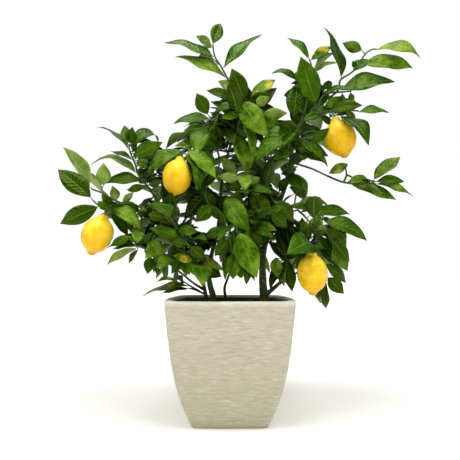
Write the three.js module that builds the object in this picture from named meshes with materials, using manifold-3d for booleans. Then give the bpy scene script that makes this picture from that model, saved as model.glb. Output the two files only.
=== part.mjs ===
// A potted lemon tree: a square, tapering stone-like pot filled with soil, four woody stems,
// leafy shoots and four hanging lemons. Millimetres, +Z up, origin at the middle of the pot's underside.
import * as THREE from 'three';
import Module from 'manifold-3d';

const wasm = await Module();
wasm.setup();

// ---- Driving sizes -------------------------------------------------------------------------

const FIT_GAP = 0.35; // air left between two pieces that touch on the real tree
const SHORTEST_EDGE = 0.05; // a shorter edge, left where two pieces are joined, is taken out
const LEAST_FACE_HEIGHT = 0.01; // and so is a face lower than this

const POT_HEIGHT = 215;
const POT_RIM_HALF = 111.5; // half width across the flats at the rim, at the ends of each side
const POT_TAPER = 22; // how much the half width shrinks evenly down to the foot
const POT_TUCK = 24.5; // how much more it shrinks in the curve above the foot
const POT_TUCK_POWER = 3.5;
const POT_RIM_BOW = 7.5; // how far the middle of a side stands out at the rim
const POT_FOOT_BOW = 1;
const POT_RIM_CORNER = 15; // length that a rounded corner takes from each side
const POT_FOOT_CORNER = 10;
const POT_WALL = 14.5;
const POT_FLOOR = 16;
const POT_RIM_ROUND = 3;
const POT_FOOT_ROUND = 2.5;

const DRAIN_RADIUS = 6;
const DRAIN_OFFSET = 30;
const DRAIN_SIDES = 8;

const SOIL_EDGE_HEIGHT = 206;
const POT_OUTSIDE_HEIGHTS = [18, 42, 80, 140];
const POT_INSIDE_HEIGHTS = [POT_FLOOR, 60, SOIL_EDGE_HEIGHT];
const SOIL_MOUND = 6; // rise from the pot's wall to the middle
const SOIL_LUMP = 0.9;
const ROOT_DEPTH = 55; // how far a stem goes on below the soil's surface

const LEAF_WIDTH_RATIO = 0.44; // blade width over blade length
const LEAF_WIDEST_RATIO = 0.62;
const LEAF_THICKNESS = 1.5; // at the midrib; the blade thins out to its margin
const LEAF_FOLD = 0.2; // rise of each half from the midrib, per unit of half width
const LEAF_WAVE = 0.028; // rise and fall of the margin, per unit of length
const STALK_ROOT_RADIUS = 0.6; // of a leaf's stalk, where it grows out of the twig
const SPUR_LENGTH = 8; // least length of leaf stalk
const SHORT_LEAF = 48; // a leaf up to this long has a simpler form

const TWIG_BASE_RADIUS = 2.1;
const TWIG_TIP_RADIUS = 1.4;
const TWIG_SIDES = 3;
const STEM_SIDES = 6;
const BRANCH_SIDES = 5;
const CALYX_RADIUS = 5.2;
const CALYX_HEIGHT = 1.6;
const CALYX_SIDES = 8;
const LEMON_STALK_RADIUS = 1.5;
const LEMON_STALK_SIDES = 4;

// ---- The line of sight that the plant is laid out along ----------------------------------

// A place on the plant is written as a pixel across and down a picture 460 pixels square, and
// a depth in millimetres behind the pot's middle, so that a row of the tables below reads as
// what is seen from the front.
const EYE = new THREE.Vector3(0, -748.7, 257.3);
const EYE_FOCAL_PIXELS = 381.9;
const EYE_TILT = THREE.MathUtils.degToRad(6.824);
const PICTURE_MIDDLE = new THREE.Vector2(230.5, 230);
const EYE_FORWARD = new THREE.Vector3(0, Math.cos(EYE_TILT), Math.sin(EYE_TILT));
const EYE_UP = new THREE.Vector3(0, -Math.sin(EYE_TILT), Math.cos(EYE_TILT));

function sight(across, down, depth) {
  const ray = EYE_FORWARD.clone();
  ray.x += (across - PICTURE_MIDDLE.x) / EYE_FOCAL_PIXELS;
  ray.addScaledVector(EYE_UP, (PICTURE_MIDDLE.y - down) / EYE_FOCAL_PIXELS);
  return EYE.clone().addScaledVector(ray, (depth - EYE.y) / ray.y);
}

function pixelSize(place) {
  return place.clone().sub(EYE).dot(EYE_FORWARD) / EYE_FOCAL_PIXELS;
}

// ---- The plant ---------------------------------------------------------------------------

// Wood: each limb is [radius at its start, radius at its end, [across, down, depth] ...].
// A limb that starts in the soil has its root added below its first point.
const WOOD = {
  stem_left: {
    rooted: [2.9, 1.9, [206.5, 299, -12], [204.2, 284, -14], [203.5, 271, -18], [198, 255, -26],
      [188, 238, -38], [176, 222, -48], [164, 207, -55], [154, 195, -58], [149, 188, -59]],
    limbs: [
      [1.9, 1.6, [188, 238, -38], [170, 231, -50], [152, 221, -62], [137, 211, -71], [125, 205, -76]],
      [1.8, 1.5, [203.6, 289, -15], [194, 283, -28], [184, 275, -42], [172, 265, -58]],
      [1.7, 1.5, [198, 255, -26], [192, 246, -50], [184, 237, -72], [178, 230, -84]],
    ],
  },
  stem_tall: {
    rooted: [4.3, 2.1, [214, 300, -26], [211, 287, -26], [209.5, 276, -24], [212, 255, -16],
      [217, 236, -8], [220, 216, 0], [221, 198, 6], [222, 184, 8], [225, 168, 4], [229, 152, 0],
      [235, 132, -8], [238, 117, -14], [239, 106, -18]],
    limbs: [
      [1.9, 1.6, [229, 152, 0], [218, 150, -26], [207, 149, -52]],
      [1.8, 1.6, [217, 236, -8], [224, 231, -40], [230, 226, -72]],
      [1.6, 1.4, [221, 198, 6], [213, 192, -20], [208, 188, -36]],
    ],
  },
  stem_thin: {
    rooted: [2.3, 1.6, [226, 300, 14], [225, 288.4, 14], [228, 278.7, 12], [234, 264, 8],
      [240, 246, 2], [246, 228, -6], [249, 210, -14], [249, 196, -24]],
    limbs: [],
  },
  stem_main: {
    rooted: [6.2, 2.6, [264.9, 300, -6], [263.6, 287, -6], [263, 270, -5], [264, 252, -2],
      [268, 236, 2], [275, 218, 6], [281, 200, 8], [287, 182, 6], [291, 162, 2],
      [292, 146, -4], [299, 127, -14], [312, 112, -24], [325, 101, -32]],
    limbs: [
      [3.0, 1.9, [264.4, 296, -6], [272, 290, 0], [282, 281, 6], [291, 269, 4], [299, 257, -10],
        [306, 246, -26], [311, 236, -40]],
      [1.9, 1.5, [275, 218, 6], [287, 213, -6], [298, 210, -20]],
      [2.1, 1.6, [291, 162, 2], [301, 165, -4], [313, 169, -12], [328, 176, -20]],
      [1.8, 1.4, [268, 236, 2], [266, 228, -34], [262, 220, -60]],
    ],
  },
};

// Leafy shoots. twigs: [across, down, depth] points of each green twig, the first starting on
// the wood. leaves: [base across, base down, tip across, tip down, width seen, face, lean, arch],
// where the face is 'u' if the leaf's upper side is seen and 'l' if its lower side is, lean is how
// much deeper the tip lies than the base, and arch is the rise of the blade's middle per unit of
// length. fill: how many more leaves grow round the twigs by rule, where the front view hides them.
const SHOOTS = {
  shoot_crown_left: {
    twigs: [
      [[239, 106, -18], [236, 95, -21], [231, 85, -23], [228, 79, -25], [224, 71, -27],
        [220, 64, -29], [216, 58, -31], [214, 51, -33], [213.5, 44, -34]],
      [[238, 100, -20], [243, 103, -22], [249, 102, -24]],
    ],
    leaves: [
      [213.5, 43, 221, 23, 13, 'u', 10, 0.06],
      [213, 48, 197, 36, 9, 'l', 16, 0.02],
      [213, 56.5, 165, 41, 8, 'u', 8, 0.05],
      [229, 77, 176, 55, 10, 'u', -16, 0.06],
      [225, 67, 262, 33, 10, 'u', 4, 0.05],
      [246, 102, 232, 68, 18, 'u', -12, 0.04],
      [234, 93, 219, 81, 10, 'l', 26, 0.05],
      [238, 103, 207, 90, 10, 'u', -14, 0.1],
      [252, 98, 276, 79, 12, 'u', 10, 0.06],
      [249, 102, 272, 94, 12, 'u', -10, 0.06],
    ],
    fill: 1,
  },
  shoot_crown_right: {
    twigs: [
      [[325, 101, -32], [338, 91, -38], [341, 80, -41], [350, 74, -44], [357, 68, -46],
        [361, 62, -48], [365, 55, -50], [371, 50, -52], [377, 49, -53]],
    ],
    leaves: [
      [341.5, 77, 326, 26, 9, 'u', 6, 0.05],
      [362, 50, 343, 43, 11, 'l', 12, 0.05],
      [377, 49, 422, 57.5, 9, 'u', -8, 0.2],
      [365, 64, 414, 67, 14, 'u', -10, 0.1],
      [342, 90, 396, 80.5, 15, 'u', -14, 0.1],
      [357, 68, 353, 61, 8, 'u', -14, 0.1],
      [353, 72, 372, 60, 6, 'u', 18, 0.1],
    ],
    fill: 1,
  },
  shoot_crown_middle: {
    twigs: [
      [[297.5, 131, -10], [303, 118, -20], [307, 104, -30], [311, 90, -36], [313, 78, -39],
        [312, 66, -41], [310, 60, -42]],
      [[304, 114, -24], [297, 105, -18], [296, 92, -12], [298, 82, -8]],
    ],
    leaves: [
      [316, 104, 301, 56, 22, 'u', -14, 0.06],
      [309, 58, 288, 37, 7, 'u', 6, 0.08],
      [311, 60, 333, 46, 9, 'u', -8, 0.06],
      [314, 72, 333, 53, 8, 'l', 10, 0.05],
      [315, 72, 338, 62, 4, 'u', 4, 0.1],
      [297, 81, 272, 73, 6, 'u', 0, 0.28],
      [294, 117, 298, 82, 19, 'u', 4, 0.06],
      [299, 107, 311, 84, 9, 'u', 12, 0.08],
      [300, 90, 284, 96, 8, 'u', 14, 0.14],
      [299, 84, 305, 66, 8, 'u', 20, 0.1],
    ],
    fill: 1,
  },
  shoot_high_right: {
    twigs: [
      [[317, 107, -28], [321, 112, -40], [330, 111, -50], [344, 110, -58], [359, 111, -64]],
      [[330, 111, -50], [334, 114, -54], [335, 116.6, -56]],
      [[319, 109, -34], [322, 98, -40], [330, 93, -44], [342, 92, -47], [352, 91, -49]],
    ],
    leaves: [
      [322, 89, 333, 82, 8, 'u', 12, 0.1],
      [323, 93, 358, 88, 5, 'u', -6, 0.06],
      [326, 108, 341, 96, 9, 'u', -10, 0.1],
      [329, 112, 363, 105, 12, 'u', -20, 0.12],
      [360, 112, 390, 112, 7, 'u', 6, 0.08],
      [343, 93, 343, 105, 6, 'l', -4, 0.05],
      [352, 91, 353, 103, 6, 'u', 4, 0.05],
      [341, 116, 370, 144, 12, 'u', -12, 0.12],
      [320, 115, 303, 121, 8, 'u', -12, 0.12],
      [321, 117, 336, 129, 6, 'u', -30, 0.08],
      [345, 112, 356, 122, 7, 'l', 20, 0.1],
    ],
    fill: 0,
  },
  shoot_inner_right: {
    twigs: [
      [[293.6, 140, -8], [297, 140, -34], [299, 134, -56], [299.5, 129, -66]],
      [[298, 137, -48], [306, 141, -56], [312, 144, -60]],
    ],
    leaves: [
      [299, 127, 255, 161, 20, 'u', -8, 0.12],
      [292, 142, 329, 156, 17, 'u', -18, 0.08],
      [293, 150, 273, 160, 9, 'u', -14, 0.08],
      [312, 143, 330, 128, 10, 'u', 14, 0.1],
      [300, 141, 329, 166, 8, 'u', 4, 0.1],
    ],
    fill: 1,
  },
  shoot_middle: {
    twigs: [
      [[232, 141, -4], [236, 132, -26], [240, 122, -44], [243, 112, -54], [244, 104, -58]],
      [[242, 117, -50], [252, 118, -52], [262, 116, -54]],
    ],
    leaves: [
      [242, 103, 268, 137, 22, 'u', -20, 0.1],
      [245, 121, 254, 156, 10, 'u', -12, 0.06],
      [238, 134, 248, 176, 18, 'u', -24, 0.08],
      [243, 115, 219, 119, 8, 'u', -10, 0.12],
      [240, 106, 214, 112, 8, 'u', 4, 0.14],
      [264, 115, 288, 113, 12, 'l', 8, 0.1],
      [262, 119, 284, 129, 12, 'u', -4, 0.1],
      [257, 104, 270, 97, 11, 'l', 14, 0.05],
    ],
    fill: 1,
  },
  shoot_high_left: {
    twigs: [
      [[234.5, 134, -7], [226, 126, -24], [215, 122, -40], [205, 125, -50], [196, 131, -58]],
      [[215, 122, -40], [210, 117, -36]],
    ],
    leaves: [
      [211, 120, 173.5, 123, 9, 'u', 10, 0.1],
      [206, 128, 184, 131, 9, 'u', -10, 0.14],
      [194, 133, 166, 148, 9, 'l', 4, 0.12],
      [208, 114, 197, 93, 17, 'u', -10, 0.06],
      [232, 112, 211, 101, 7, 'u', 0, 0.06],
      [224, 125, 236, 146, 12, 'u', -16, 0.1],
      [214, 122, 206, 142, 11, 'u', -18, 0.1],
    ],
    fill: 2,
  },
  shoot_lemon_left: {
    twigs: [
      [[207, 149, -52], [198, 147, -70], [190, 147, -84], [184, 150, -94], [181.5, 155.5, -100]],
      [[218, 150, -26], [220, 160, -40], [219, 170, -52]],
    ],
    leaves: [
      [220, 147, 175, 145, 12, 'u', -30, 0.06],
      [183, 148, 147, 171, 13, 'u', 10, 0.12],
      [176, 156, 160, 175, 9, 'u', 14, 0.08],
      [188, 149, 217, 178, 15, 'u', -6, 0.1],
      [191, 150, 219, 164, 9, 'u', 16, 0.12],
      [188, 155, 201, 190, 12, 'u', 6, 0.08],
      [219, 172, 203, 188, 9, 'u', 10, 0.1],
      [223, 158, 238, 178, 12, 'l', 8, 0.1],
    ],
    fill: 2,
  },
  shoot_upper_left: {
    twigs: [
      [[149, 188, -59], [144, 181, -61], [138, 173, -63], [136, 165, -65], [133, 158, -66],
        [130, 150, -67], [129.5, 145, -68]],
      [[145, 182, -61], [148, 175, -66], [150, 168, -70]],
    ],
    leaves: [
      [128, 150, 98, 126, 4, 'u', 0, 0.13],
      [128, 143, 125, 125, 14, 'l', 14, 0.05],
      [130.5, 143, 133, 127, 13, 'u', -22, 0.08],
      [131, 146, 159, 142, 10, 'u', -8, 0.46],
      [135, 156, 163, 142, 16, 'u', -14, 0.08],
      [133, 151, 139, 137, 7, 'l', 16, 0.05],
      [134, 160, 111, 151, 5, 'u', 6, 0.06],
      [136, 173, 91, 164, 6, 'u', -6, 0.27],
      [142, 182, 104, 183, 11, 'u', -10, 0.16],
      [148, 176, 155, 170, 6, 'u', -12, 0.1],
      [151, 168, 138, 160, 11, 'u', 10, 0.1],
      [149, 184, 163, 181, 8, 'l', 16, 0.1],
      [147, 186, 128, 191, 8, 'u', 6, 0.12],
      [151, 166, 172, 152, 12, 'u', 16, 0.08],
    ],
    fill: 0,
  },
  shoot_far_left: {
    twigs: [
      [[125, 205, -76], [113, 199, -82], [107, 196, -84], [103, 193, -85], [92, 189, -88]],
      [[121, 203, -78], [115, 209, -84], [110, 211, -88], [100, 206, -90], [93, 200, -91]],
      [[112, 210.4, -86], [108, 211.5, -92], [105.4, 213, -95]],
    ],
    leaves: [
      [91, 197, 58, 169, 20, 'u', 4, 0.05],
      [90, 187, 65, 147, 14, 'l', 8, 0.06],
      [104, 185, 104, 163, 19, 'l', 24, 0.03],
      [107, 194, 87, 178, 8, 'l', 10, 0.06],
      [99, 207, 60, 224, 18, 'u', -8, 0.06],
      [118.5, 200, 113, 186, 10, 'l', 12, 0.04],
      [122, 203, 134, 192, 7, 'l', 12, 0.06],
      [112, 205, 102, 194, 9, 'u', -10, 0.1],
      [110, 210, 98, 201, 8, 'u', -14, 0.08],
      [114, 206, 142, 229, 15, 'u', -16, 0.1],
      [121, 205, 141, 211, 13, 'u', 14, 0.12],
      [112, 214, 129, 236, 10, 'u', 14, 0.06],
    ],
    fill: 0,
  },
  shoot_low_left: {
    twigs: [
      [[172, 265, -58], [163, 258, -74], [152, 250, -90], [141, 247, -100], [137, 246, -103]],
      [[152, 250, -90], [150, 241, -96], [142, 234, -100]],
      [[163, 258, -74], [157, 263, -82], [154, 268, -86]],
    ],
    leaves: [
      [136, 249, 107.5, 264, 8, 'l', -4, 0.1],
      [138, 250, 129, 263.5, 5, 'u', 4, 0.06],
      [131, 237, 111, 246, 9, 'u', 6, 0.1],
      [136, 246, 113, 249, 7, 'u', 12, 0.1],
      [139, 231, 137.5, 243, 14, 'u', -26, 0.08],
      [162, 242, 146, 258, 18, 'u', -30, 0.08],
      [170, 255, 157, 268, 13, 'u', -20, 0.12],
      [151, 257, 148, 274, 11, 'u', 4, 0.06],
      [157, 263, 158.5, 276, 5, 'u', -4, 0.05],
      [167, 263, 165.5, 280, 6, 'u', 6, 0.05],
      [178, 270, 176, 285, 5, 'u', 10, 0.05],
      [146, 236, 131, 228, 9, 'u', 16, 0.1],
    ],
    fill: 1,
  },
  shoot_skirt_left: {
    twigs: [
      [[203.9, 293.6, -13], [198, 290, -24], [191, 286, -36], [183, 281, -48]],
      [[201, 292, -18], [195, 289.5, -30], [190, 288.4, -42]],
    ],
    leaves: [
      [190, 287, 141.4, 296, 6, 'u', 10, 0.08],
      [189, 288.6, 161, 293, 5, 'u', -14, 0.04],
      [181, 280, 157, 281, 4, 'l', 24, 0.05],
      [186, 283, 177, 277, 6, 'u', 14, 0.05],
    ],
    fill: 0,
  },
  shoot_left_middle: {
    twigs: [
      [[178, 230, -84], [174, 222, -96], [168, 214, -106]],
      [[181, 234, -78], [184, 240, -88], [190, 246, -98]],
    ],
    leaves: [
      [172, 224, 153, 200, 23, 'u', -8, 0.06],
      [168, 213, 172, 192, 18, 'u', -4, 0.08],
      [180, 238, 150, 228, 13, 'u', -22, 0.1],
      [184, 240, 162, 232, 12, 'u', 14, 0.1],
      [179, 228, 198, 232, 11, 'u', -10, 0.1],
      [190, 246, 206, 260, 13, 'u', 8, 0.1],
      [188, 246, 172, 241, 12, 'u', -10, 0.12],
      [164, 218, 148, 214, 12, 'u', 16, 0.1],
    ],
    fill: 2,
  },
  shoot_low_middle: {
    twigs: [
      [[203, 268, -21], [201, 264, -44], [197.5, 261.4, -64], [195, 261, -76]],
      [[197.5, 261.4, -64], [190, 256, -62], [182, 254, -58]],
    ],
    leaves: [
      [195, 260.5, 173, 255.5, 9, 'u', -14, 0.12],
      [197, 261, 224, 270, 9, 'u', -20, 0.1],
      [191, 261, 199, 277, 12, 'u', -6, 0.08],
      [184, 258, 190, 275, 11, 'u', 4, 0.08],
      [200, 265, 222, 277, 13, 'u', 14, 0.1],
      [190, 256, 174, 247, 9, 'u', 10, 0.1],
      [183, 256, 172, 274, 10, 'u', 6, 0.08],
    ],
    fill: 2,
  },
  shoot_inner_left: {
    twigs: [
      [[208, 188, -36], [206, 190, -50], [206, 196, -64], [208, 204, -74]],
    ],
    leaves: [
      [211, 189.5, 184.5, 218.8, 19, 'u', -10, 0.08],
      [212, 206, 196, 222, 16, 'u', -10, 0.1],
      [209, 206, 224, 220, 10, 'u', 6, 0.1],
      [206, 192, 218, 206, 9, 'u', 16, 0.1],
    ],
    fill: 2,
  },
  shoot_heart: {
    twigs: [
      [[249, 196, -24], [249, 190, -44], [247.5, 182, -62], [245, 177, -74]],
      [[248.6, 188, -50], [240, 193, -66], [230, 197, -80]],
      [[249, 191, -42], [256, 196, -54], [260, 206, -62]],
    ],
    leaves: [
      [246, 175, 245.5, 191, 14, 'u', -40, 0.1],
      [251, 184, 260, 177, 12, 'l', -10, 0.08],
      [240, 179, 218, 176, 10, 'l', -6, 0.1],
      [247, 194, 274, 215, 18, 'u', -26, 0.1],
      [226, 198, 250, 232, 21, 'u', -26, 0.08],
      [256, 209, 268, 219, 9, 'u', -10, 0.1],
      [232, 193, 244, 206, 10, 'u', 16, 0.1],
      [242, 187, 226, 186, 10, 'u', 10, 0.1],
    ],
    fill: 1,
  },
  shoot_heart_right: {
    twigs: [
      [[262, 220, -60], [262, 216, -76], [270, 212, -84], [278, 206, -88]],
      [[262, 219, -64], [257, 223, -74], [253, 227, -80]],
    ],
    leaves: [
      [256, 222, 277, 230, 9, 'u', -16, 0.14],
      [254, 229, 274, 237, 9, 'u', 4, 0.16],
      [280, 201, 294, 221, 14, 'u', 4, 0.08],
      [270, 212, 283, 206, 10, 'u', -12, 0.1],
      [272, 213, 288, 228, 13, 'u', -6, 0.1],
      [252, 231, 263, 246, 9, 'u', 14, 0.1],
    ],
    fill: 2,
  },
  shoot_front: {
    twigs: [
      [[230, 226, -72], [234, 223, -92], [236.6, 226, -106], [237, 232, -114]],
      [[232.6, 224, -84], [230, 232, -90], [231, 242, -92], [233, 252, -92]],
    ],
    leaves: [
      [239, 233, 257.5, 278, 24, 'u', -6, 0.08],
      [235, 236, 234, 262, 10, 'u', 6, 0.08],
      [234, 257, 233.5, 279.5, 14, 'u', -6, 0.08],
      [237, 256, 242, 279, 12, 'u', 8, 0.1],
      [228, 229, 204, 238, 11, 'u', 8, 0.14],
      [230, 238, 215, 256, 12, 'u', 6, 0.1],
      [230, 244, 220, 262, 10, 'u', 14, 0.1],
    ],
    fill: 1,
  },
  shoot_right_sprig: {
    twigs: [
      [[328, 176, -20], [343, 182, -28], [360, 184, -36], [374, 182.6, -42]],
      [[344, 182.4, -28], [347, 175, -31], [346, 168, -33]],
      [[347, 175, -31], [350, 176, -34], [353, 177.4, -36]],
    ],
    leaves: [
      [375, 179, 401, 156, 13, 'u', 8, 0.05],
      [378, 181, 405, 181.5, 10, 'u', -12, 0.12],
      [378, 184, 415, 196, 6, 'u', 4, 0.06],
      [349, 184, 397.5, 199, 12, 'u', -16, 0.02],
      [362, 184, 384, 193, 4, 'l', -30, 0.02],
      [373, 181, 348, 182, 8, 'u', -12, 0.2],
      [348, 164, 329, 173.5, 10, 'l', 10, 0.08],
    ],
    fill: 1,
  },
  shoot_right_gap: {
    twigs: [
      [[289, 173, 4], [294, 180, -12], [297, 188, -22], [296, 198, -28], [294.5, 206, -32]],
    ],
    leaves: [
      [295, 205, 329, 205, 6, 'l', 6, 0.2],
      [290, 187, 310, 206, 8, 'u', -6, 0.12],
      [296, 174, 308, 196, 9, 'u', 4, 0.08],
      [288, 176, 303, 191, 12, 'u', -10, 0.1],
      [291, 176, 279, 192, 10, 'u', -8, 0.1],
    ],
    fill: 1,
  },
  shoot_right_bough: {
    twigs: [
      [[311, 236, -40], [312, 230, -54], [314, 223, -66], [318, 217, -74], [325, 214, -80]],
      [[298, 210, -20], [304, 215, -34], [309, 221, -46]],
      [[312, 232, -48], [320, 231, -64], [328, 233, -78], [333, 240, -88]],
    ],
    leaves: [
      [311, 215, 351, 213.6, 12, 'u', 6, 0.14],
      [325, 221, 368, 240, 15, 'u', -8, 0.16],
      [328, 228, 347, 246.5, 20, 'u', 10, 0.12],
      [316, 229, 331, 230, 9, 'l', -20, 0.1],
      [322, 233, 347, 247, 9, 'u', -16, 0.06],
      [334, 246, 348, 271, 15, 'l', -10, 0.08],
      [308, 222, 301, 232, 10, 'u', -14, 0.1],
      [311, 230, 320, 220, 12, 'u', -20, 0.1],
      [299, 213, 320, 211, 5, 'u', -8, 0.14],
      [319, 236, 336, 261, 9, 'u', 8, 0.08],
    ],
    fill: 1,
  },
  shoot_lemon_right: {
    twigs: [
      [[305, 248, -24], [309, 246, -50], [312, 246, -72], [312, 249.6, -84]],
      [[310, 246, -58], [318, 250, -64], [324, 260, -66], [327, 270, -68], [327, 277, -70]],
      [[307, 247, -40], [300, 250, -58], [296, 252, -72]],
      [[300.5, 255, -12], [293, 258, -30], [287, 260, -44]],
    ],
    leaves: [
      [311, 243, 288, 253, 24, 'u', -24, 0.1],
      [318, 248, 340, 271, 14, 'u', 6, 0.1],
      [328, 277, 344.5, 294, 15, 'u', -10, 0.08],
      [326.5, 283, 326, 309, 11, 'u', 8, 0.1],
      [324, 282, 320, 304, 10, 'u', -8, 0.12],
      [285, 261, 293, 292, 13, 'u', -8, 0.08],
      [304, 251, 297, 270, 9, 'u', 4, 0.06],
      [286, 260, 284, 287, 6, 'u', -18, 0.08],
      [276, 258, 278, 278, 12, 'u', -12, 0.1],
      [289, 259, 290, 276, 9, 'u', 10, 0.1],
    ],
    fill: 0,
  },
  shoot_back_left: {
    twigs: [
      [[182, 230, -43], [174, 224, 0], [167, 212, 44], [163, 198, 80], [164, 182, 104],
        [170, 168, 120]],
    ],
    leaves: [],
    fill: 9,
  },
  shoot_back_low_left: {
    twigs: [
      [[203.4, 274, -17], [195, 262, 26], [184, 251, 66], [174, 242, 98], [165, 236, 126]],
    ],
    leaves: [],
    fill: 9,
  },
  shoot_back_middle: {
    twigs: [
      [[220, 212, 2], [213, 200, 46], [208, 184, 84], [208, 166, 112], [214, 148, 132]],
    ],
    leaves: [],
    fill: 9,
  },
  shoot_back_high: {
    twigs: [
      [[235.4, 130, -9], [242, 122, 30], [252, 116, 62], [262, 108, 86]],
    ],
    leaves: [],
    fill: 7,
  },
  shoot_back_right: {
    twigs: [
      [[275.6, 216, 6], [270, 204, 48], [265, 190, 86], [266, 172, 116], [272, 154, 136]],
    ],
    leaves: [],
    fill: 9,
  },
  shoot_back_low_middle: {
    twigs: [
      [[233, 266, 8], [238, 256, 50], [244, 246, 86], [250, 236, 116]],
    ],
    leaves: [],
    fill: 7,
  },
  shoot_back_low_right: {
    twigs: [
      [[288, 273, 5], [295, 262, 44], [303, 252, 80], [311, 244, 108], [320, 237, 130]],
    ],
    leaves: [],
    fill: 8,
  },
  shoot_back_top_right: {
    twigs: [
      [[291.8, 150, -3], [296, 140, 34], [302, 128, 66], [310, 116, 92]],
    ],
    leaves: [],
    fill: 7,
  },
};

// Lemons: the place of the neck and the nipple seen from the front, the depth of the neck, how
// much deeper the nipple lies, and the real length and width.
const LEMONS = {
  lemon_far_left: { neck: [105, 214.6], nipple: [91, 254.5], depth: -96, lean: -4, size: [73, 54] },
  lemon_left: { neck: [181, 157.2], nipple: [174, 199.6], depth: -102, lean: -6, size: [72, 52] },
  lemon_right: { neck: [335.2, 118.4], nipple: [347, 160.5], depth: -57, lean: -6, size: [80, 59] },
  lemon_low_right: { neck: [312, 251.4], nipple: [313.5, 295.5], depth: -86, lean: 2, size: [76, 54] },
};
// Outline of a lemon from stalk to nipple: [distance along / length, radius / half width].
const LEMON_OUTLINE = [
  [0, 0], [0.01, 0.26], [0.1, 0.37], [0.17, 0.56], [0.27, 0.78], [0.4, 0.95],
  [0.54, 1], [0.69, 0.91], [0.81, 0.71], [0.9, 0.41], [0.975, 0.22], [1, 0],
];
const LEMON_SIDES = 12;

// ---- Closed solids -----------------------------------------------------------------------

// Joins rings of points, each counter-clockwise round the way from the first ring to the last,
// into one closed skin. A ring of one point is a tip. A twin skin splits every second side
// along its other diagonal, so that the upper and lower halves of a thin blade are alike.
function loft(rings, twin = false) {
  const places = [];
  const faces = [];
  const starts = rings.map((ring) => {
    const start = places.length / 3;
    ring.forEach((point) => places.push(point.x, point.y, point.z));
    return start;
  });
  for (let i = 0; i + 1 < rings.length; i += 1) {
    const count = Math.max(rings[i].length, rings[i + 1].length);
    for (let k = 0; k < count; k += 1) {
      const next = (k + 1) % count;
      const low = starts[i];
      const high = starts[i + 1];
      const narrowing = rings[i + 1].length === 1;
      const widening = rings[i].length === 1;
      if (narrowing) {
        faces.push(low + k, low + next, high);
      } else if (widening) {
        faces.push(low, high + next, high + k);
      } else if (twin && k % 2 === 1) {
        faces.push(low + k, low + next, high + k);
        faces.push(low + next, high + next, high + k);
      } else {
        faces.push(low + k, low + next, high + next);
        faces.push(low + k, high + next, high + k);
      }
    }
  }
  for (let k = 1; k + 1 < rings[0].length; k += 1) {
    faces.push(0, k + 1, k);
  }
  const last = starts[rings.length - 1];
  for (let k = 1; k + 1 < rings[rings.length - 1].length; k += 1) {
    faces.push(last, last + k, last + k + 1);
  }
  const geometry = new THREE.BufferGeometry();
  geometry.setAttribute('position', new THREE.Float32BufferAttribute(places, 3));
  geometry.setIndex(faces);
  return geometry;
}

function toSolid(geometry) {
  return new wasm.Manifold(new wasm.Mesh({
    numProp: 3,
    vertProperties: new Float32Array(geometry.getAttribute('position').array),
    triVerts: new Uint32Array(geometry.index.array),
  }));
}

// The corners that each corner of a closed skin shares an edge with.
function cornerNeighbours(faces) {
  const neighbours = new Map();
  faces.forEach((face) => face.forEach((corner, k) => {
    const others = neighbours.get(corner) ?? new Set();
    neighbours.set(corner, others.add(face[(k + 1) % 3]).add(face[(k + 2) % 3]));
  }));
  return neighbours;
}

// Draws together into one point an edge shorter than SHORTEST_EDGE. An edge is left as it is where
// more than its own two faces would fold up. Gives null where there is none left.
function withoutShortEdge(places, faces) {
  const neighbours = cornerNeighbours(faces);
  const edge = faces
    .flatMap((face) => face.map((corner, k) => [corner, face[(k + 1) % 3]]))
    .find(([from, to]) => places[from].distanceTo(places[to]) < SHORTEST_EDGE
      && [...neighbours.get(from)].filter((corner) => neighbours.get(to).has(corner)).length === 2);
  return edge ? faces
    .map((face) => face.map((corner) => (corner === edge[0] ? edge[1] : corner)))
    .filter(([a, b, c]) => a !== b && b !== c && c !== a) : null;
}

// The height of a face over its longest edge.
function faceHeight(places, face) {
  const [a, b, c] = face.map((corner) => places[corner]);
  const longest = Math.max(a.distanceTo(b), b.distanceTo(c), c.distanceTo(a));
  return (2 * new THREE.Triangle(a, b, c).getArea()) / longest;
}

// Turns the longest edge of one face lower than LEAST_FACE_HEIGHT the other way across the two
// faces that meet there. Gives null where there is no such face left.
function withoutNeedle(places, faces) {
  const neighbours = cornerNeighbours(faces);
  for (const face of faces.filter((each) => faceHeight(places, each) < LEAST_FACE_HEIGHT)) {
    const lengths = face.map((corner, k) => places[corner].distanceTo(places[face[(k + 1) % 3]]));
    const k = lengths.indexOf(Math.max(...lengths));
    const [a, b, c] = [face[k], face[(k + 1) % 3], face[(k + 2) % 3]];
    const across = faces.find((other) => other !== face && other.includes(a) && other.includes(b));
    const d = across.find((corner) => corner !== a && corner !== b);
    const turned = [[a, d, c], [d, b, c]];
    const lowest = Math.min(...turned.map((each) => faceHeight(places, each)));
    if (!neighbours.get(c).has(d) && lowest > faceHeight(places, face)) {
      return [...faces.filter((each) => each !== face && each !== across), ...turned];
    }
  }
  return null;
}

function tidyFaces(places, faces) {
  const tidier = withoutShortEdge(places, faces) ?? withoutNeedle(places, faces);
  return tidier ? tidyFaces(places, tidier) : faces;
}

function toGeometry(solid) {
  const mesh = solid.getMesh();
  const places = Array.from({ length: mesh.vertProperties.length / 3 }, (_, i) => (
    new THREE.Vector3().fromArray(mesh.vertProperties, 3 * i)));
  const corners = Array.from({ length: mesh.triVerts.length / 3 }, (_, i) => (
    [...mesh.triVerts.slice(3 * i, 3 * i + 3)]));
  const geometry = new THREE.BufferGeometry();
  geometry.setAttribute('position', new THREE.Float32BufferAttribute(mesh.vertProperties, 3));
  geometry.setIndex(tidyFaces(places, corners).flat());
  return geometry;
}

function largestPiece(solid) {
  const pieces = solid.decompose();
  return pieces.reduce((best, piece) => (piece.volume() > best.volume() ? piece : best));
}

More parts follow.
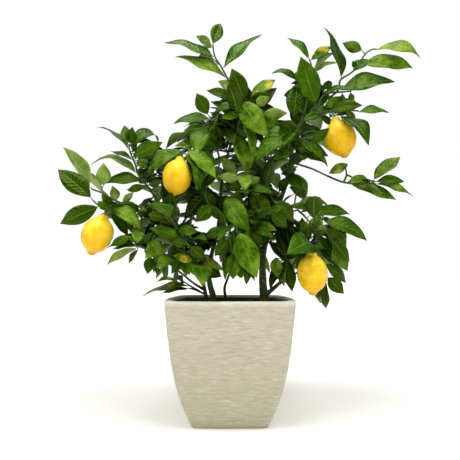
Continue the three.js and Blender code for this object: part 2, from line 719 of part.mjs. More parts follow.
// A ring of points round a centre, square to the way that it faces.
function circle(centre, way, radius, sides) {
  const turn = new THREE.Quaternion().setFromUnitVectors(new THREE.Vector3(0, 0, 1), way);
  return Array.from({ length: sides }, (_, k) => {
    const angle = (2 * Math.PI * k) / sides;
    return new THREE.Vector3(radius * Math.cos(angle), radius * Math.sin(angle), 0)
      .applyQuaternion(turn)
      .add(centre);
  });
}

// A round limb along its points, thinning evenly. Growing it makes it fatter and longer all over.
function limb(points, startRadius, endRadius, sides, grow = 0) {
  const spine = points.map((point) => point.clone());
  const count = spine.length;
  const ways = spine.map((_, i) => spine[Math.min(i + 1, count - 1)].clone()
    .sub(spine[Math.max(i - 1, 0)])
    .normalize());
  spine[0].addScaledVector(ways[0], -grow);
  spine[count - 1].addScaledVector(ways[count - 1], grow);
  return toSolid(loft(spine.map((centre, i) => {
    const radius = THREE.MathUtils.lerp(startRadius, endRadius, i / (count - 1)) + grow;
    return circle(centre, ways[i], radius, sides);
  })));
}

// ---- Pot and soil ------------------------------------------------------------------------

// Half of the pot's width at a height, at the ends of its sides.
function potHalf(height) {
  const drop = 1 - height / POT_HEIGHT;
  return POT_RIM_HALF - POT_TAPER * drop - POT_TUCK * drop ** POT_TUCK_POWER;
}

// The pot's outline at a height: four bowed sides and four rounded corners, moved in by inset.
function potOutline(height, inset) {
  const rise = height / POT_HEIGHT;
  const half = potHalf(height) - inset;
  const bow = THREE.MathUtils.lerp(POT_FOOT_BOW, POT_RIM_BOW, rise);
  const corner = THREE.MathUtils.lerp(POT_FOOT_CORNER, POT_RIM_CORNER, rise);
  const end = half - Math.max(corner - inset / 2, corner / 2);
  const slope = (2 * bow) / end;
  const peak = (half + slope * end) / (1 + slope);
  const quarter = [
    new THREE.QuadraticBezierCurve(
      new THREE.Vector2(half, -end),
      new THREE.Vector2(half + 2 * bow, 0),
      new THREE.Vector2(half, end),
    ).getPoints(4),
    new THREE.QuadraticBezierCurve(
      new THREE.Vector2(half, end),
      new THREE.Vector2(peak, peak),
      new THREE.Vector2(end, half),
    ).getPoints(3).slice(1, -1),
  ].flat();
  const ring = [];
  for (let side = 0; side < 4; side += 1) {
    const turn = (side * Math.PI) / 2;
    quarter.forEach((point) => {
      const turned = point.clone().rotateAround(new THREE.Vector2(), turn);
      ring.push(new THREE.Vector3(turned.x, turned.y, height));
    });
  }
  return ring;
}

// The pot's inner wall from its floor up to the soil's edge.
function insideRings(inset) {
  return POT_INSIDE_HEIGHTS.map((height) => potOutline(height, inset));
}

function potSolid() {
  const outer = [
    potOutline(0, POT_FOOT_ROUND),
    potOutline(POT_FOOT_ROUND, 0),
  ];
  POT_OUTSIDE_HEIGHTS.forEach((height) => outer.push(potOutline(height, 0)));
  outer.push(
    potOutline(POT_HEIGHT - POT_RIM_ROUND, 0),
    potOutline(POT_HEIGHT - POT_RIM_ROUND * 0.3, POT_RIM_ROUND * 0.3),
    potOutline(POT_HEIGHT, POT_RIM_ROUND),
  );
  const mouth = potOutline(POT_HEIGHT, POT_WALL - POT_RIM_ROUND);
  const inner = [
    ...insideRings(POT_WALL),
    potOutline(POT_HEIGHT - POT_RIM_ROUND, POT_WALL),
    mouth,
    mouth.map((point) => point.clone().setZ(POT_HEIGHT + 1)),
  ];
  let pot = toSolid(loft(outer)).subtract(toSolid(loft(inner)));
  [[1, 1], [1, -1], [-1, 1], [-1, -1]].forEach(([x, y]) => {
    const hole = [-1, POT_FLOOR + 1].map((height) => circle(
      new THREE.Vector3(x * DRAIN_OFFSET, y * DRAIN_OFFSET, height),
      new THREE.Vector3(0, 0, 1),
      DRAIN_RADIUS,
      DRAIN_SIDES,
    ));
    pot = pot.subtract(toSolid(loft(hole)));
  });
  return pot;
}

function soilHeight(x, y, share) {
  const lumps = Math.sin(x / 8 + 1) * Math.cos(y / 9) + 0.6 * Math.sin(y / 5 - x / 6);
  return SOIL_EDGE_HEIGHT + (SOIL_MOUND * (1 + share) + SOIL_LUMP * lumps) * (1 - share);
}

function soilSolid(roots) {
  const sides = insideRings(POT_WALL + FIT_GAP);
  sides[0].forEach((point) => {
    point.z += FIT_GAP;
  });
  const edge = sides.pop();
  const top = [1, 0.6, 0].map((share) => {
    const ring = edge.map((point) => new THREE.Vector3(point.x * share, point.y * share, 0));
    ring.forEach((point) => {
      point.z = soilHeight(point.x, point.y, share);
    });
    return share > 0 ? ring : [ring[0]];
  });
  let soil = toSolid(loft([...sides, ...top]));
  roots.forEach((root) => {
    soil = soil.subtract(root);
  });
  return largestPiece(soil);
}

// ---- Wood --------------------------------------------------------------------------------

function routePoints(rows) {
  return rows.map((row) => sight(...row));
}

// The limbs of one stem as [points, start radius, end radius], with the root below the soil.
function stemLimbs({ rooted, limbs }) {
  return [rooted, ...limbs].map(([startRadius, endRadius, ...rows], i) => {
    const points = routePoints(rows);
    if (i === 0) {
      const foot = points[0].clone();
      foot.z = SOIL_EDGE_HEIGHT - ROOT_DEPTH;
      points.unshift(foot);
    }
    return [points, startRadius, endRadius];
  });
}

function stemSolid(limbs, grow) {
  return limbs
    .map(([points, startRadius, endRadius], i) => (
      limb(points, startRadius, endRadius, i === 0 ? STEM_SIDES : BRANCH_SIDES, grow)))
    .reduce((whole, piece) => whole.add(piece));
}

// ---- Leaves ------------------------------------------------------------------------------

const UP = new THREE.Vector3(0, 0, 1);
const GOLDEN_TURN = 2.39996;
const GOLDEN_STEP = 0.618034;
const WAVES = 1.5; // of the margin, from the blade's base to its tip
const CLEARANCE = 1.7; // between the middle faces of two blades
const TWIG_SAMPLES = 24; // places on each straight stretch of a twig where a leaf can grow
const ROOT_SHIFT = 0.1; // most that a root is moved towards its blade, so that no two roots meet
const OWN_REACH = 13; // how far from its root a leaf may touch its own twig
// What a leaf tries in turn until it is clear: moves of its tip in depth, turns about its length,
// and for a leaf that grows by rule, swings round its twig and lengths.
const TIP_STEPS = [0, 10, -10, 20, -20, 32, -32, 46, -46, 62, -62];
const TURN_STEPS = [0, 0.35, -0.35, 0.7, -0.7];
const FIRST_GROWN = 0.28; // where on its twig the first leaf that grows by rule stands, as a share
const LAST_GROWN = 0.97;
const GROWN_AHEAD = 0.35; // how much such a leaf leans along its twig, and at the twig's tip
const GROWN_AHEAD_AT_TIP = 1.4;
const GROWN_DROOP = 0.22;
const GROWN_WIDTH_RATIO = 0.48;
const GROWN_ARCH = 0.13;
const FILL_SWINGS = [0, 0.5, -0.5, 1, -1, 1.6, -1.6, 2.3, 3.1];
const FILL_LENGTHS = [74, 60, 46];
// Shares of a blade's length where its section is set, for clearing, a long and a short leaf.
const OUTLINE_STATIONS = [0.08, 0.3, 0.55, 0.8, 1];
const LONG_STATIONS = [0.17, 0.48, 0.8];
const SHORT_STATIONS = [0.28, 0.7];
const BLADE_THINNING = 0.35; // share of its thickness that a blade loses towards its tip

// Half width of a blade along its length, as a share of the widest.
function bladeShape(share) {
  return Math.sin(Math.PI * share ** 0.86) ** 0.84;
}

// A leaf is where its blade starts and ends, its upper side's direction and its form.
function makeLeaf(root, base, tip, normal, width, arch, order, stations) {
  const along = tip.clone().sub(base);
  const length = along.length();
  along.divideScalar(length);
  const upper = normal.clone().addScaledVector(along, -normal.dot(along)).normalize();
  const side = new THREE.Vector3().crossVectors(upper, along);
  const phase = order * GOLDEN_STEP * 2 * Math.PI;
  return { root, base, along, upper, side, length, width, arch, phase, stations };
}

// A point of the blade: share runs from its base to its tip, and across from -1 to 1.
function bladePoint(leaf, share, across, lift = 0) {
  const rise = leaf.arch * leaf.length * 4 * share * (1 - share);
  const slope = leaf.arch * 4 * (1 - 2 * share);
  const square = leaf.upper.clone().addScaledVector(leaf.along, -slope).normalize();
  const half = (leaf.width / 2) * (share < 1 ? bladeShape(share) : 0);
  const wave = LEAF_WAVE * leaf.length * Math.sin(2 * Math.PI * WAVES * share + leaf.phase + across);
  const fold = (LEAF_FOLD * half + wave * bladeShape(share)) * Math.abs(across);
  return leaf.base.clone()
    .addScaledVector(leaf.along, leaf.length * share)
    .addScaledVector(leaf.upper, rise)
    .addScaledVector(leaf.side, half * across)
    .addScaledVector(square, (share < 1 ? fold : 0) + lift);
}

// A four-sided ring of a leaf stalk, square to the way that it faces.
function stalkRing(centre, way, upper, radius) {
  const side = new THREE.Vector3().crossVectors(upper, way).normalize();
  const top = new THREE.Vector3().crossVectors(way, side);
  return [
    centre.clone().addScaledVector(side, radius),
    centre.clone().addScaledVector(top, radius),
    centre.clone().addScaledVector(side, -radius),
    centre.clone().addScaledVector(top, -radius),
  ];
}

function leafSolid(leaf) {
  const stalk = bladePoint(leaf, 0, 0).sub(leaf.root).normalize();
  const rings = [stalkRing(leaf.root, stalk, leaf.upper, STALK_ROOT_RADIUS)];
  leaf.stations.forEach((share) => {
    const lift = (LEAF_THICKNESS / 2) * (1 - BLADE_THINNING * share);
    rings.push([
      bladePoint(leaf, share, 1),
      bladePoint(leaf, share, 0, lift),
      bladePoint(leaf, share, -1),
      bladePoint(leaf, share, 0, -lift),
    ]);
  });
  rings.push([bladePoint(leaf, 1, 0)]);
  return toSolid(loft(rings, true));
}

// The nearest point of a shoot's twigs, in space or as seen from the front, short of their ends.
function nearestOnTwigs(twigs, distanceTo) {
  let best = null;
  twigs.forEach((points) => {
    for (let i = 0; i + 1 < points.length; i += 1) {
      const last = i + 2 < points.length ? TWIG_SAMPLES : TWIG_SAMPLES - 3;
      for (let k = 0; k <= last; k += 1) {
        const point = points[i].clone().lerp(points[i + 1], k / TWIG_SAMPLES);
        const distance = distanceTo(point);
        if (!best || distance < best.distance) {
          best = { point, distance };
        }
      }
    }
  });
  return best.point;
}

// Where a point is seen from the front, as a pixel across and down.
function seenAt(point) {
  const away = point.clone().sub(EYE);
  const scale = EYE_FOCAL_PIXELS / away.dot(EYE_FORWARD);
  return new THREE.Vector2(
    PICTURE_MIDDLE.x + away.x * scale,
    PICTURE_MIDDLE.y - away.dot(EYE_UP) * scale,
  );
}

// A leaf of a table row, with its tip moved in depth and its blade turned about its length.
function seenLeaf(row, twigs, order, tipShift, turn) {
  const [baseAcross, baseDown, tipAcross, tipDown, widthSeen, face, lean, arch] = row;
  const seen = new THREE.Vector2(baseAcross, baseDown);
  const root = nearestOnTwigs(twigs, (point) => seenAt(point).distanceTo(seen));
  const base = sight(baseAcross, baseDown, root.y);
  root.lerp(base, ROOT_SHIFT * ((order * GOLDEN_STEP) % 1));
  if (base.distanceTo(root) < SPUR_LENGTH / 2) {
    const tipAway = sight(tipAcross, tipDown, root.y).sub(base).normalize();
    base.copy(root).addScaledVector(tipAway, SPUR_LENGTH / 2);
  }
  const tip = sight(tipAcross, tipDown, root.y + lean + tipShift);
  const along = tip.clone().sub(base).normalize();
  const length = tip.distanceTo(base);
  const seenWidth = widthSeen * pixelSize(base);
  const width = Math.min(Math.max(LEAF_WIDTH_RATIO * length, seenWidth), LEAF_WIDEST_RATIO * length);
  const toEye = EYE.clone().sub(base);
  toEye.addScaledVector(along, -toEye.dot(along)).normalize();
  const sideways = new THREE.Vector3().crossVectors(toEye, along);
  sideways.multiplyScalar(tipAcross >= baseAcross ? 1 : -1);
  const tilt = Math.acos(Math.min(1, seenWidth / width));
  const roll = (face === 'u' ? tilt : Math.PI - tilt) + turn;
  const normal = toEye.multiplyScalar(Math.cos(roll)).addScaledVector(sideways, Math.sin(roll));
  const stations = length > SHORT_LEAF ? LONG_STATIONS : SHORT_STATIONS;
  return makeLeaf(root, base, tip, normal, width, arch, order, stations);
}

// A leaf that grows by rule: the order-th of count round the shoot's first twig.
function grownLeaf(twig, order, count, swing, length) {
  const place = THREE.MathUtils.lerp(FIRST_GROWN, LAST_GROWN, (order + 0.5) / count);
  const span = place * (twig.length - 1);
  const i = Math.min(Math.floor(span), twig.length - 2);
  const root = twig[i].clone().lerp(twig[i + 1], span - i);
  const way = twig[i + 1].clone().sub(twig[i]).normalize();
  const first = new THREE.Vector3().crossVectors(way, UP).normalize();
  const second = new THREE.Vector3().crossVectors(way, first);
  const angle = order * GOLDEN_TURN + swing;
  const away = first.multiplyScalar(Math.cos(angle)).addScaledVector(second, Math.sin(angle));
  const ahead = order + 1 === count ? GROWN_AHEAD_AT_TIP : GROWN_AHEAD;
  const along = away.clone().addScaledVector(way, ahead).addScaledVector(UP, -GROWN_DROOP).normalize();
  const base = root.clone().addScaledVector(along.clone().add(away).normalize(), SPUR_LENGTH);
  const grown = length * THREE.MathUtils.lerp(0.86, 1.14, (order * GOLDEN_STEP) % 1);
  const tip = base.clone().addScaledVector(along, grown);
  const normal = UP.clone().addScaledVector(way, GROWN_AHEAD).addScaledVector(away, GROWN_AHEAD);
  const width = grown * GROWN_WIDTH_RATIO;
  return makeLeaf(root, base, tip, normal, width, GROWN_ARCH, order, SHORT_STATIONS);
}

// ---- Keeping leaves clear of what they don't grow on --------------------------------------

// A blade as a coarse net of triangles, for measuring how near it comes to others.
class Blade {
  constructor(leaf, owner) {
    this.owner = owner;
    this.corners = OUTLINE_STATIONS.flatMap((share) => [-1, 0, 1].map(
      (across) => bladePoint(leaf, share, across),
    ));
    this.box = new THREE.Box3().setFromPoints(this.corners).expandByScalar(CLEARANCE / 2);
    this.faces = [];
    this.edges = [];
    for (let row = 0; row + 1 < OUTLINE_STATIONS.length; row += 1) {
      for (let column = 0; column < 2; column += 1) {
        const a = this.corners[row * 3 + column];
        const b = this.corners[row * 3 + column + 1];
        const c = this.corners[row * 3 + column + 4];
        const d = this.corners[row * 3 + column + 3];
        this.faces.push(new THREE.Triangle(a, b, c), new THREE.Triangle(a, c, d));
        this.edges.push([a, b], [b, c], [c, a], [c, d], [d, a]);
      }
    }
  }

  pierces(other) {
    const ray = new THREE.Ray();
    const hit = new THREE.Vector3();
    return this.edges.some(([from, to]) => {
      ray.origin.copy(from);
      ray.direction.copy(to).sub(from);
      const reach = ray.direction.length();
      if (reach < 1e-6) {
        return false;
      }
      ray.direction.divideScalar(reach);
      return other.faces.some(({ a, b, c }) => ray.intersectTriangle(a, b, c, false, hit)
        && hit.distanceTo(from) <= reach);
    });
  }

  distanceTo(point) {
    const nearest = new THREE.Vector3();
    return Math.min(...this.faces.map((face) => {
      face.closestPointToPoint(point, nearest);
      return nearest.distanceTo(point);
    }));
  }

  touches(other) {
    return this.box.intersectsBox(other.box)
      && (this.pierces(other) || other.pierces(this)
        || this.corners.some((corner) => other.distanceTo(corner) < CLEARANCE)
        || other.corners.some((corner) => this.distanceTo(corner) < CLEARANCE));
  }

  meetsBall(ball) {
    return this.box.distanceToPoint(ball.centre) < ball.radius + CLEARANCE
      && this.distanceTo(ball.centre) < ball.radius + CLEARANCE / 2;
  }
}

// A limb as a row of balls, close enough together to stand for it.
function ballsAlong(points, startRadius, endRadius, owner) {
  const balls = [];
  for (let i = 0; i + 1 < points.length; i += 1) {
    const steps = Math.ceil(points[i].distanceTo(points[i + 1]) / 3);
    for (let k = 0; k < steps; k += 1) {
      const radius = THREE.MathUtils.lerp(startRadius, endRadius, (i + k / steps) / (points.length - 1));
      balls.push({ centre: points[i].clone().lerp(points[i + 1], k / steps), radius, owner });
    }
  }
  balls.push({ centre: points[points.length - 1], radius: endRadius, owner });
  return balls;
}

function stalkBalls(leaf, owner) {
  return ballsAlong([leaf.root, leaf.base], STALK_ROOT_RADIUS, STALK_ROOT_RADIUS, owner);
}

// ---- Lemons ------------------------------------------------------------------------------

function lemonAxis({ neck, nipple, depth, lean }) {
  const top = sight(...neck, depth);
  const bottom = sight(...nipple, depth + lean);
  return { top, way: bottom.sub(top).normalize() };
}

function lemonBalls(lemon, owner) {
  const { top, way } = lemonAxis(lemon);
  const [length, width] = lemon.size;
  return LEMON_OUTLINE.slice(1, -1).map(([along, radius]) => ({
    centre: top.clone().addScaledVector(way, along * length),
    radius: (radius * width) / 2,
    owner,
  }));
}

function lemonMesh(lemon, material) {
  const { top, way } = lemonAxis(lemon);
  const [length, width] = lemon.size;
  const outline = LEMON_OUTLINE.map(([along, radius]) => (
    new THREE.Vector2((radius * width) / 2, -along * length)
  )).reverse();
  const mesh = new THREE.Mesh(new THREE.LatheGeometry(outline, LEMON_SIDES), material);
  mesh.quaternion.setFromUnitVectors(new THREE.Vector3(0, -1, 0), way);
  mesh.position.copy(top);
  return mesh;
}

// The green star at the top of a lemon and the end of its stalk.
function calyxSolid(lemon, twigEnd) {
  const { top, way } = lemonAxis(lemon);
  const back = way.clone().negate();
  const seat = top.clone().addScaledVector(back, FIT_GAP);
  const above = (height) => seat.clone().addScaledVector(back, height);
  const disc = toSolid(loft([
    circle(seat, back, CALYX_RADIUS, CALYX_SIDES),
    circle(above(CALYX_HEIGHT / 2), back, CALYX_RADIUS, CALYX_SIDES),
    circle(above(CALYX_HEIGHT * 1.6), back, LEMON_STALK_RADIUS, CALYX_SIDES),
  ]));
  const stalk = [above(CALYX_HEIGHT / 2), twigEnd];
  return disc.add(limb(stalk, LEMON_STALK_RADIUS, LEMON_STALK_RADIUS, LEMON_STALK_SIDES));
}

// ---- Growing the shoots -------------------------------------------------------------------

const stems = Object.entries(WOOD).map(([name, wood]) => ({ name, limbs: stemLimbs(wood) }));
const shoots = Object.entries(SHOOTS).map(([name, shoot]) => ({
  name,
  rows: shoot.leaves,
  fill: shoot.fill,
  twigs: shoot.twigs.map(routePoints),
  leaves: [],
}));
const LEMON_BEARERS = {
  lemon_far_left: 'shoot_far_left',
  lemon_left: 'shoot_lemon_left',
  lemon_right: 'shoot_high_right',
  lemon_low_right: 'shoot_lemon_right',
};

const balls = [
  ...stems.flatMap(({ name, limbs }) => limbs.flatMap((piece) => ballsAlong(...piece, name))),
  ...shoots.flatMap(({ name, twigs }) => twigs.flatMap(
    (points) => ballsAlong(points, TWIG_BASE_RADIUS, TWIG_TIP_RADIUS, name),
  )),
  ...Object.entries(LEMONS).flatMap(([name, lemon]) => lemonBalls(lemon, name)),
];
const blades = [];

function isClear(leaf, owner, sameShootToo) {
  const blade = new Blade(leaf, owner);
  const stalk = stalkBalls(leaf, owner);
  const foreign = (ball) => ball.owner !== owner
    || (sameShootToo && ball.centre.distanceTo(leaf.root) > OWN_REACH);
  return !balls.some((ball) => foreign(ball) && blade.meetsBall(ball))
    && !blades.some((other) => (sameShootToo || other.owner !== owner) && (
      blade.touches(other)
      || (other.owner !== owner && stalk.some((ball) => other.meetsBall(ball)))));
}

// Takes the first of a leaf's possible places that is clear, at best of its own shoot's leaves too.
function grow(shoot, choices) {
  const leaf = choices.find((choice) => isClear(choice, shoot.name, true))
    ?? choices.find((choice) => isClear(choice, shoot.name, false));
  if (leaf) {
    shoot.leaves.push(leaf);
    blades.push(new Blade(leaf, shoot.name));
    balls.push(...stalkBalls(leaf, shoot.name));
  }
}

shoots.forEach((shoot) => {
  shoot.rows.forEach((row, order) => {
    grow(shoot, TURN_STEPS.flatMap((turn) => TIP_STEPS.map(
      (shift) => seenLeaf(row, shoot.twigs, order, shift, turn),
    )));
  });
});
shoots.forEach((shoot) => {
  for (let order = 0; order < shoot.fill; order += 1) {
    const choices = FILL_LENGTHS.flatMap((length) => FILL_SWINGS.map(
      (swing) => grownLeaf(shoot.twigs[0], order, shoot.fill, swing, length),
    ));
    grow(shoot, choices);
  }
});

// ---- Assembly ----------------------------------------------------------------------------

const FINISHES = {
  pot: { color: 0xcdc8ae, roughness: 0.9 },
  soil: { color: 0x2a2416, roughness: 1 },
  wood: { color: 0x4c5430, roughness: 0.85 },
  shoot: { color: 0x2f6415, roughness: 0.45 },
  lemon: { color: 0xf2bd1c, roughness: 0.4 },
};

function finish(kind) {
  return new THREE.MeshStandardMaterial({ ...FINISHES[kind], metalness: 0 });
}

const tree = new THREE.Group();

function place(name, geometry, kind) {
  const mesh = new THREE.Mesh(geometry, finish(kind));
  mesh.name = name;
  tree.add(mesh);
}

place('pot', toGeometry(potSolid()), 'pot');
const roots = stems.map(({ limbs }) => limb(...limbs[0], STEM_SIDES, FIT_GAP));
place('soil', toGeometry(soilSolid(roots)), 'soil');

const stemJackets = stems.map(({ limbs }) => stemSolid(limbs, FIT_GAP));
stems.forEach(({ name, limbs }) => {
  place(name, toGeometry(stemSolid(limbs, 0)), 'wood');
});

shoots.forEach(({ name, twigs, leaves }) => {
  const parts = twigs.map((points) => limb(points, TWIG_BASE_RADIUS, TWIG_TIP_RADIUS, TWIG_SIDES));
  parts.push(...leaves.map(leafSolid));
  Object.entries(LEMON_BEARERS).forEach(([lemon, bearer]) => {
    if (bearer === name) {
      const { top } = lemonAxis(LEMONS[lemon]);
      parts.push(calyxSolid(LEMONS[lemon], nearestOnTwigs(twigs, (point) => point.distanceTo(top))));
    }
  });
  let shoot = parts.reduce((whole, piece) => whole.add(piece));
  stemJackets.forEach((jacket) => {
    shoot = shoot.subtract(jacket);
  });
  place(name, toGeometry(largestPiece(shoot)), 'shoot');
});

Object.entries(LEMONS).forEach(([name, lemon]) => {
  const mesh = lemonMesh(lemon, finish('lemon'));
  mesh.name = name;
  tree.add(mesh);
});

export default tree;
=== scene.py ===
"""A lemon tree in a square stone-like pot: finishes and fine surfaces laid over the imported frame."""

import logging
import math
import random
from dataclasses import dataclass, field
from enum import Enum
from functools import reduce
from typing import Callable, Iterable, Sequence

import bmesh
import bpy
from mathutils import Color, Matrix, Quaternion, Vector, noise
from mathutils.bvhtree import BVHTree


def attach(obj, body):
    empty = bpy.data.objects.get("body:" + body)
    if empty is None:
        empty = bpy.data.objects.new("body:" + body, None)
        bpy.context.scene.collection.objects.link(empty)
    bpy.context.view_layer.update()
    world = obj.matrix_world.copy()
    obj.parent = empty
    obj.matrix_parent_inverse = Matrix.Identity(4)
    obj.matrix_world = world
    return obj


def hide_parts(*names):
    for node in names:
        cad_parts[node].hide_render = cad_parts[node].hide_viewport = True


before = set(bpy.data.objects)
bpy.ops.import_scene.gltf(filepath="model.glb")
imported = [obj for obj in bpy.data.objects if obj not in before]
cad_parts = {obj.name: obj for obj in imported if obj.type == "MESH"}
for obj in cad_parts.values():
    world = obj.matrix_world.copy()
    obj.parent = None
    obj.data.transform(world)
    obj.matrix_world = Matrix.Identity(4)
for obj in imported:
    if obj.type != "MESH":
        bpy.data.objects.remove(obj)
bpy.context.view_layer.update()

log = logging.getLogger("lemon_tree")

# A millimetre in metres, the golden angle in radians, and the golden share of one.
MM = 0.001
GOLDEN_TURN = 2.39996
GOLDEN_STEP = 0.618034
UP = Vector((0, 0, 1))
ORIGIN = Vector((0, 0, 0))
WHITE = (1.0, 1.0, 1.0, 1.0)

Pair = tuple[float, float]
Triple = tuple[float, float, float]
Pixel = Pair
Placing = Triple
Colour = Triple
Ring = list[Vector]
Socket = bpy.types.NodeSocket


# ---- The line of sight that the plant is laid out along ----------------------


@dataclass(frozen=True)
class Sightline:
    """The eye that the plant's tables are written from, in millimetres and pixels of a picture
    460 pixels square.

    Attributes:
        distance: From the pot's middle to the eye, along Y.
        height: Of the eye above the floor.
        focal_pixels: Focal length in pixels.
        tilt: Angle of the view above the horizon, in radians.
        middle: The picture's middle, across and down.
        picture: Width and height of the picture in pixels.
    """

    distance: float = 748.7
    height: float = 257.3
    focal_pixels: float = 381.9
    tilt: float = math.radians(6.824)
    middle: Pixel = (230.5, 230.0)
    picture: int = 460

    @property
    def eye(self) -> Vector:
        """The eye's place."""
        return Vector((0, -self.distance, self.height))

    @property
    def forward(self) -> Vector:
        """The way that the eye looks."""
        return Vector((0, math.cos(self.tilt), math.sin(self.tilt)))

    @property
    def up(self) -> Vector:
        """The way that is up in the picture."""
        return Vector((0, -math.sin(self.tilt), math.cos(self.tilt)))

    def place(self, across: float, down: float, depth: float) -> Vector:
        """The place that is seen at a pixel and lies at a depth.

        Args:
            across: Pixel across.
            down: Pixel down.
            depth: Millimetres behind the pot's middle.

        Returns:
            The place in millimetres.
        """
        ray = self.forward
        ray.x += (across - self.middle[0]) / self.focal_pixels
        ray += self.up * ((self.middle[1] - down) / self.focal_pixels)
        return self.eye + ray * ((depth + self.distance) / ray.y)

    def seen(self, place: Vector) -> Vector:
        """The pixel across and down where a place is seen.

        Args:
            place: The place in millimetres.

        Returns:
            The pixel as a vector of two numbers.
        """
        away = place - self.eye
        scale = self.focal_pixels / away.dot(self.forward)
        return Vector((self.middle[0] + away.x * scale, self.middle[1] - away.dot(self.up) * scale))

    def pixel_size(self, place: Vector) -> float:
        """How many millimetres a pixel covers at a place."""
        return (place - self.eye).dot(self.forward) / self.focal_pixels


SIGHT = Sightline()


# ---- Drawing meshes ----------------------------------------------------------


def smooth_path(points: Sequence[Vector], step: float) -> list[Vector]:
    """Points along a smooth curve through the given ones.

    Args:
        points: The points that the curve goes through.
        step: Distance between the points of the result, about.

    Returns:
        The points along the curve, its ends included.
    """
    route = [points[0] * 2 - points[1], *points, points[-1] * 2 - points[-2]]
    path = [points[0].copy()]
    for before, start, end, after in zip(route, route[1:], route[2:], route[3:]):
        count = max(1, round((end - start).length / step))
        for k in range(1, count + 1):
            t = k / count
            path.append(0.5 * (
                2 * start
                + (end - before) * t
                + (2 * before - 5 * start + 4 * end - after) * t ** 2
                + (3 * start - before - 3 * end + after) * t ** 3
            ))
    return path


def bumps(point: Vector, waves: Iterable[Pair], shift: Vector = ORIGIN) -> float:
    """Noise at a point, summed from waves that are each given as a height and a size."""
    return sum(height * noise.noise(point / size + shift) for height, size in waves)


def spread(values: Sequence[float], share: float) -> float:
    """The value at a share of the way along evenly spaced values."""
    span = min(max(share, 0.0), 1.0) * (len(values) - 1)
    i = min(int(span), len(values) - 2)
    return values[i] + (values[i + 1] - values[i]) * (span - i)


def linked(name: str, data: bpy.types.ID) -> bpy.types.Object:
    """A new object of the scene with that data."""
    thing = bpy.data.objects.new(name, data)
    bpy.context.scene.collection.objects.link(thing)
    return thing


def shown(mesh: bmesh.types.BMesh, name: str, finishes: Sequence["Finish"]) -> bpy.types.Object:
    """Turns a drawn mesh into an object of the scene.

    Args:
        mesh: The mesh, which is used up.
        name: The object's name.
        finishes: Its finishes, in the order of their indices.

    Returns:
        The object.
    """
    data = bpy.data.meshes.new(name)
    mesh.to_mesh(data)
    mesh.free()
    for finish in finishes:
        data.materials.append(finish.material())
    return linked(name, data)


class Skin:
    """A mesh drawn in a bmesh and turned into one piece of the scene."""

    def __init__(self) -> None:
        """Starts an empty mesh with a UV map and room for two numbers on every vertex."""
        self.mesh = bmesh.new()
        self.mesh.loops.layers.uv.new("UVMap")
        self.tone = self.mesh.verts.layers.float_color.new("tone")

    def paint(self, verts: Iterable[bmesh.types.BMVert], first: float, second: float) -> None:
        """Gives vertices the two numbers, from 0 to 1, that their finish reads.

        Args:
            verts: The vertices.
            first: A leaf's brightness, the share along a lemon, or the pot's relief.
            second: A leaf's yellowness, how near a lemon's end is, or how much painted shade and moss the
                pot's inner wall takes.
        """
        for vert in verts:
            vert[self.tone] = (first, second, 0.0, 1.0)

    def draw_rings(self, rings: Sequence[Ring]) -> list[bmesh.types.BMVert]:
        """Draws a closed skin through rings with equal numbers of points, by extruding the first.

        Args:
            rings: The rings, in metres, each counter-clockwise round the way to the next.

        Returns:
            All the vertices drawn.
        """
        made = bmesh.ops.create_circle(self.mesh, segments=len(rings[0]), radius=1.0,
                                       cap_ends=False)["verts"]
        for vert, point in zip(made, rings[0]):
            vert.co = point
        everything = list(made)
        current = made
        first_edges = list(dict.fromkeys(edge for vert in made for edge in vert.link_edges))
        edges = first_edges
        for ring in rings[1:]:
            grown = bmesh.ops.extrude_edge_only(self.mesh, edges=edges)["geom"]
            fresh = {item for item in grown if isinstance(item, bmesh.types.BMVert)}
            edges = [item for item in grown if isinstance(item, bmesh.types.BMEdge)
                     and all(vert in fresh for vert in item.verts)]
            current = [next(edge.other_vert(vert) for edge in vert.link_edges
                            if edge.other_vert(vert) in fresh) for vert in current]
            for vert, point in zip(current, ring):
                vert.co = point
            everything += current
        bmesh.ops.edgeloop_fill(self.mesh, edges=first_edges)
        bmesh.ops.edgeloop_fill(self.mesh, edges=edges)
        faces = {face for vert in everything for face in vert.link_faces}
        bmesh.ops.recalc_face_normals(self.mesh, faces=list(faces))
        return everything

    def draw_tube(self, path: Sequence[Vector], radii: Sequence[float], sides: int,
                  roughen: Callable[[Vector], float] = lambda _: 0.0) -> None:
        """Draws a round tube with closed ends along a path.

        Args:
            path: Points in millimetres.
            radii: Radii in millimetres, spread evenly along the path.
            sides: Number of sides.
            roughen: Gives what share of the radius is added at a point.
        """
        way = (path[1] - path[0]).normalized()
        across = way.orthogonal().normalized()
        rings = []
        for i, point in enumerate(path):
            ahead = (path[min(i + 1, len(path) - 1)] - path[max(i - 1, 0)]).normalized()
            across.rotate(way.rotation_difference(ahead))
            across = (across - ahead * across.dot(ahead)).normalized()
            way = ahead
            second = way.cross(across)
            radius = spread(radii, i / (len(path) - 1))
            ring = []
            for k in range(sides):
                angle = 2 * math.pi * k / sides
                arm = across * math.cos(angle) + second * math.sin(angle)
                reach = radius * (1 + roughen(point + arm * radius))
                ring.append((point + arm * reach) * MM)
            rings.append(ring)
        self.draw_rings(rings)

    def into_piece(self, name: str, nodes: Sequence[str],
                   finishes: Sequence["Finish"]) -> bpy.types.Object:
        """Makes the mesh a piece of the scene that stands for nodes of the frame.

        Args:
            name: The piece's name.
            nodes: The frame's nodes that it replaces.
            finishes: Its finishes, in the order of their indices.

        Returns:
            The piece.
        """
        piece = shown(self.mesh, name, finishes)
        piece.data.shade_smooth()
        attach(piece, "root")
        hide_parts(*nodes)
        log.info("%s: %d faces", name, len(piece.data.polygons))
        return piece


# ---- Finishes ----------------------------------------------------------------


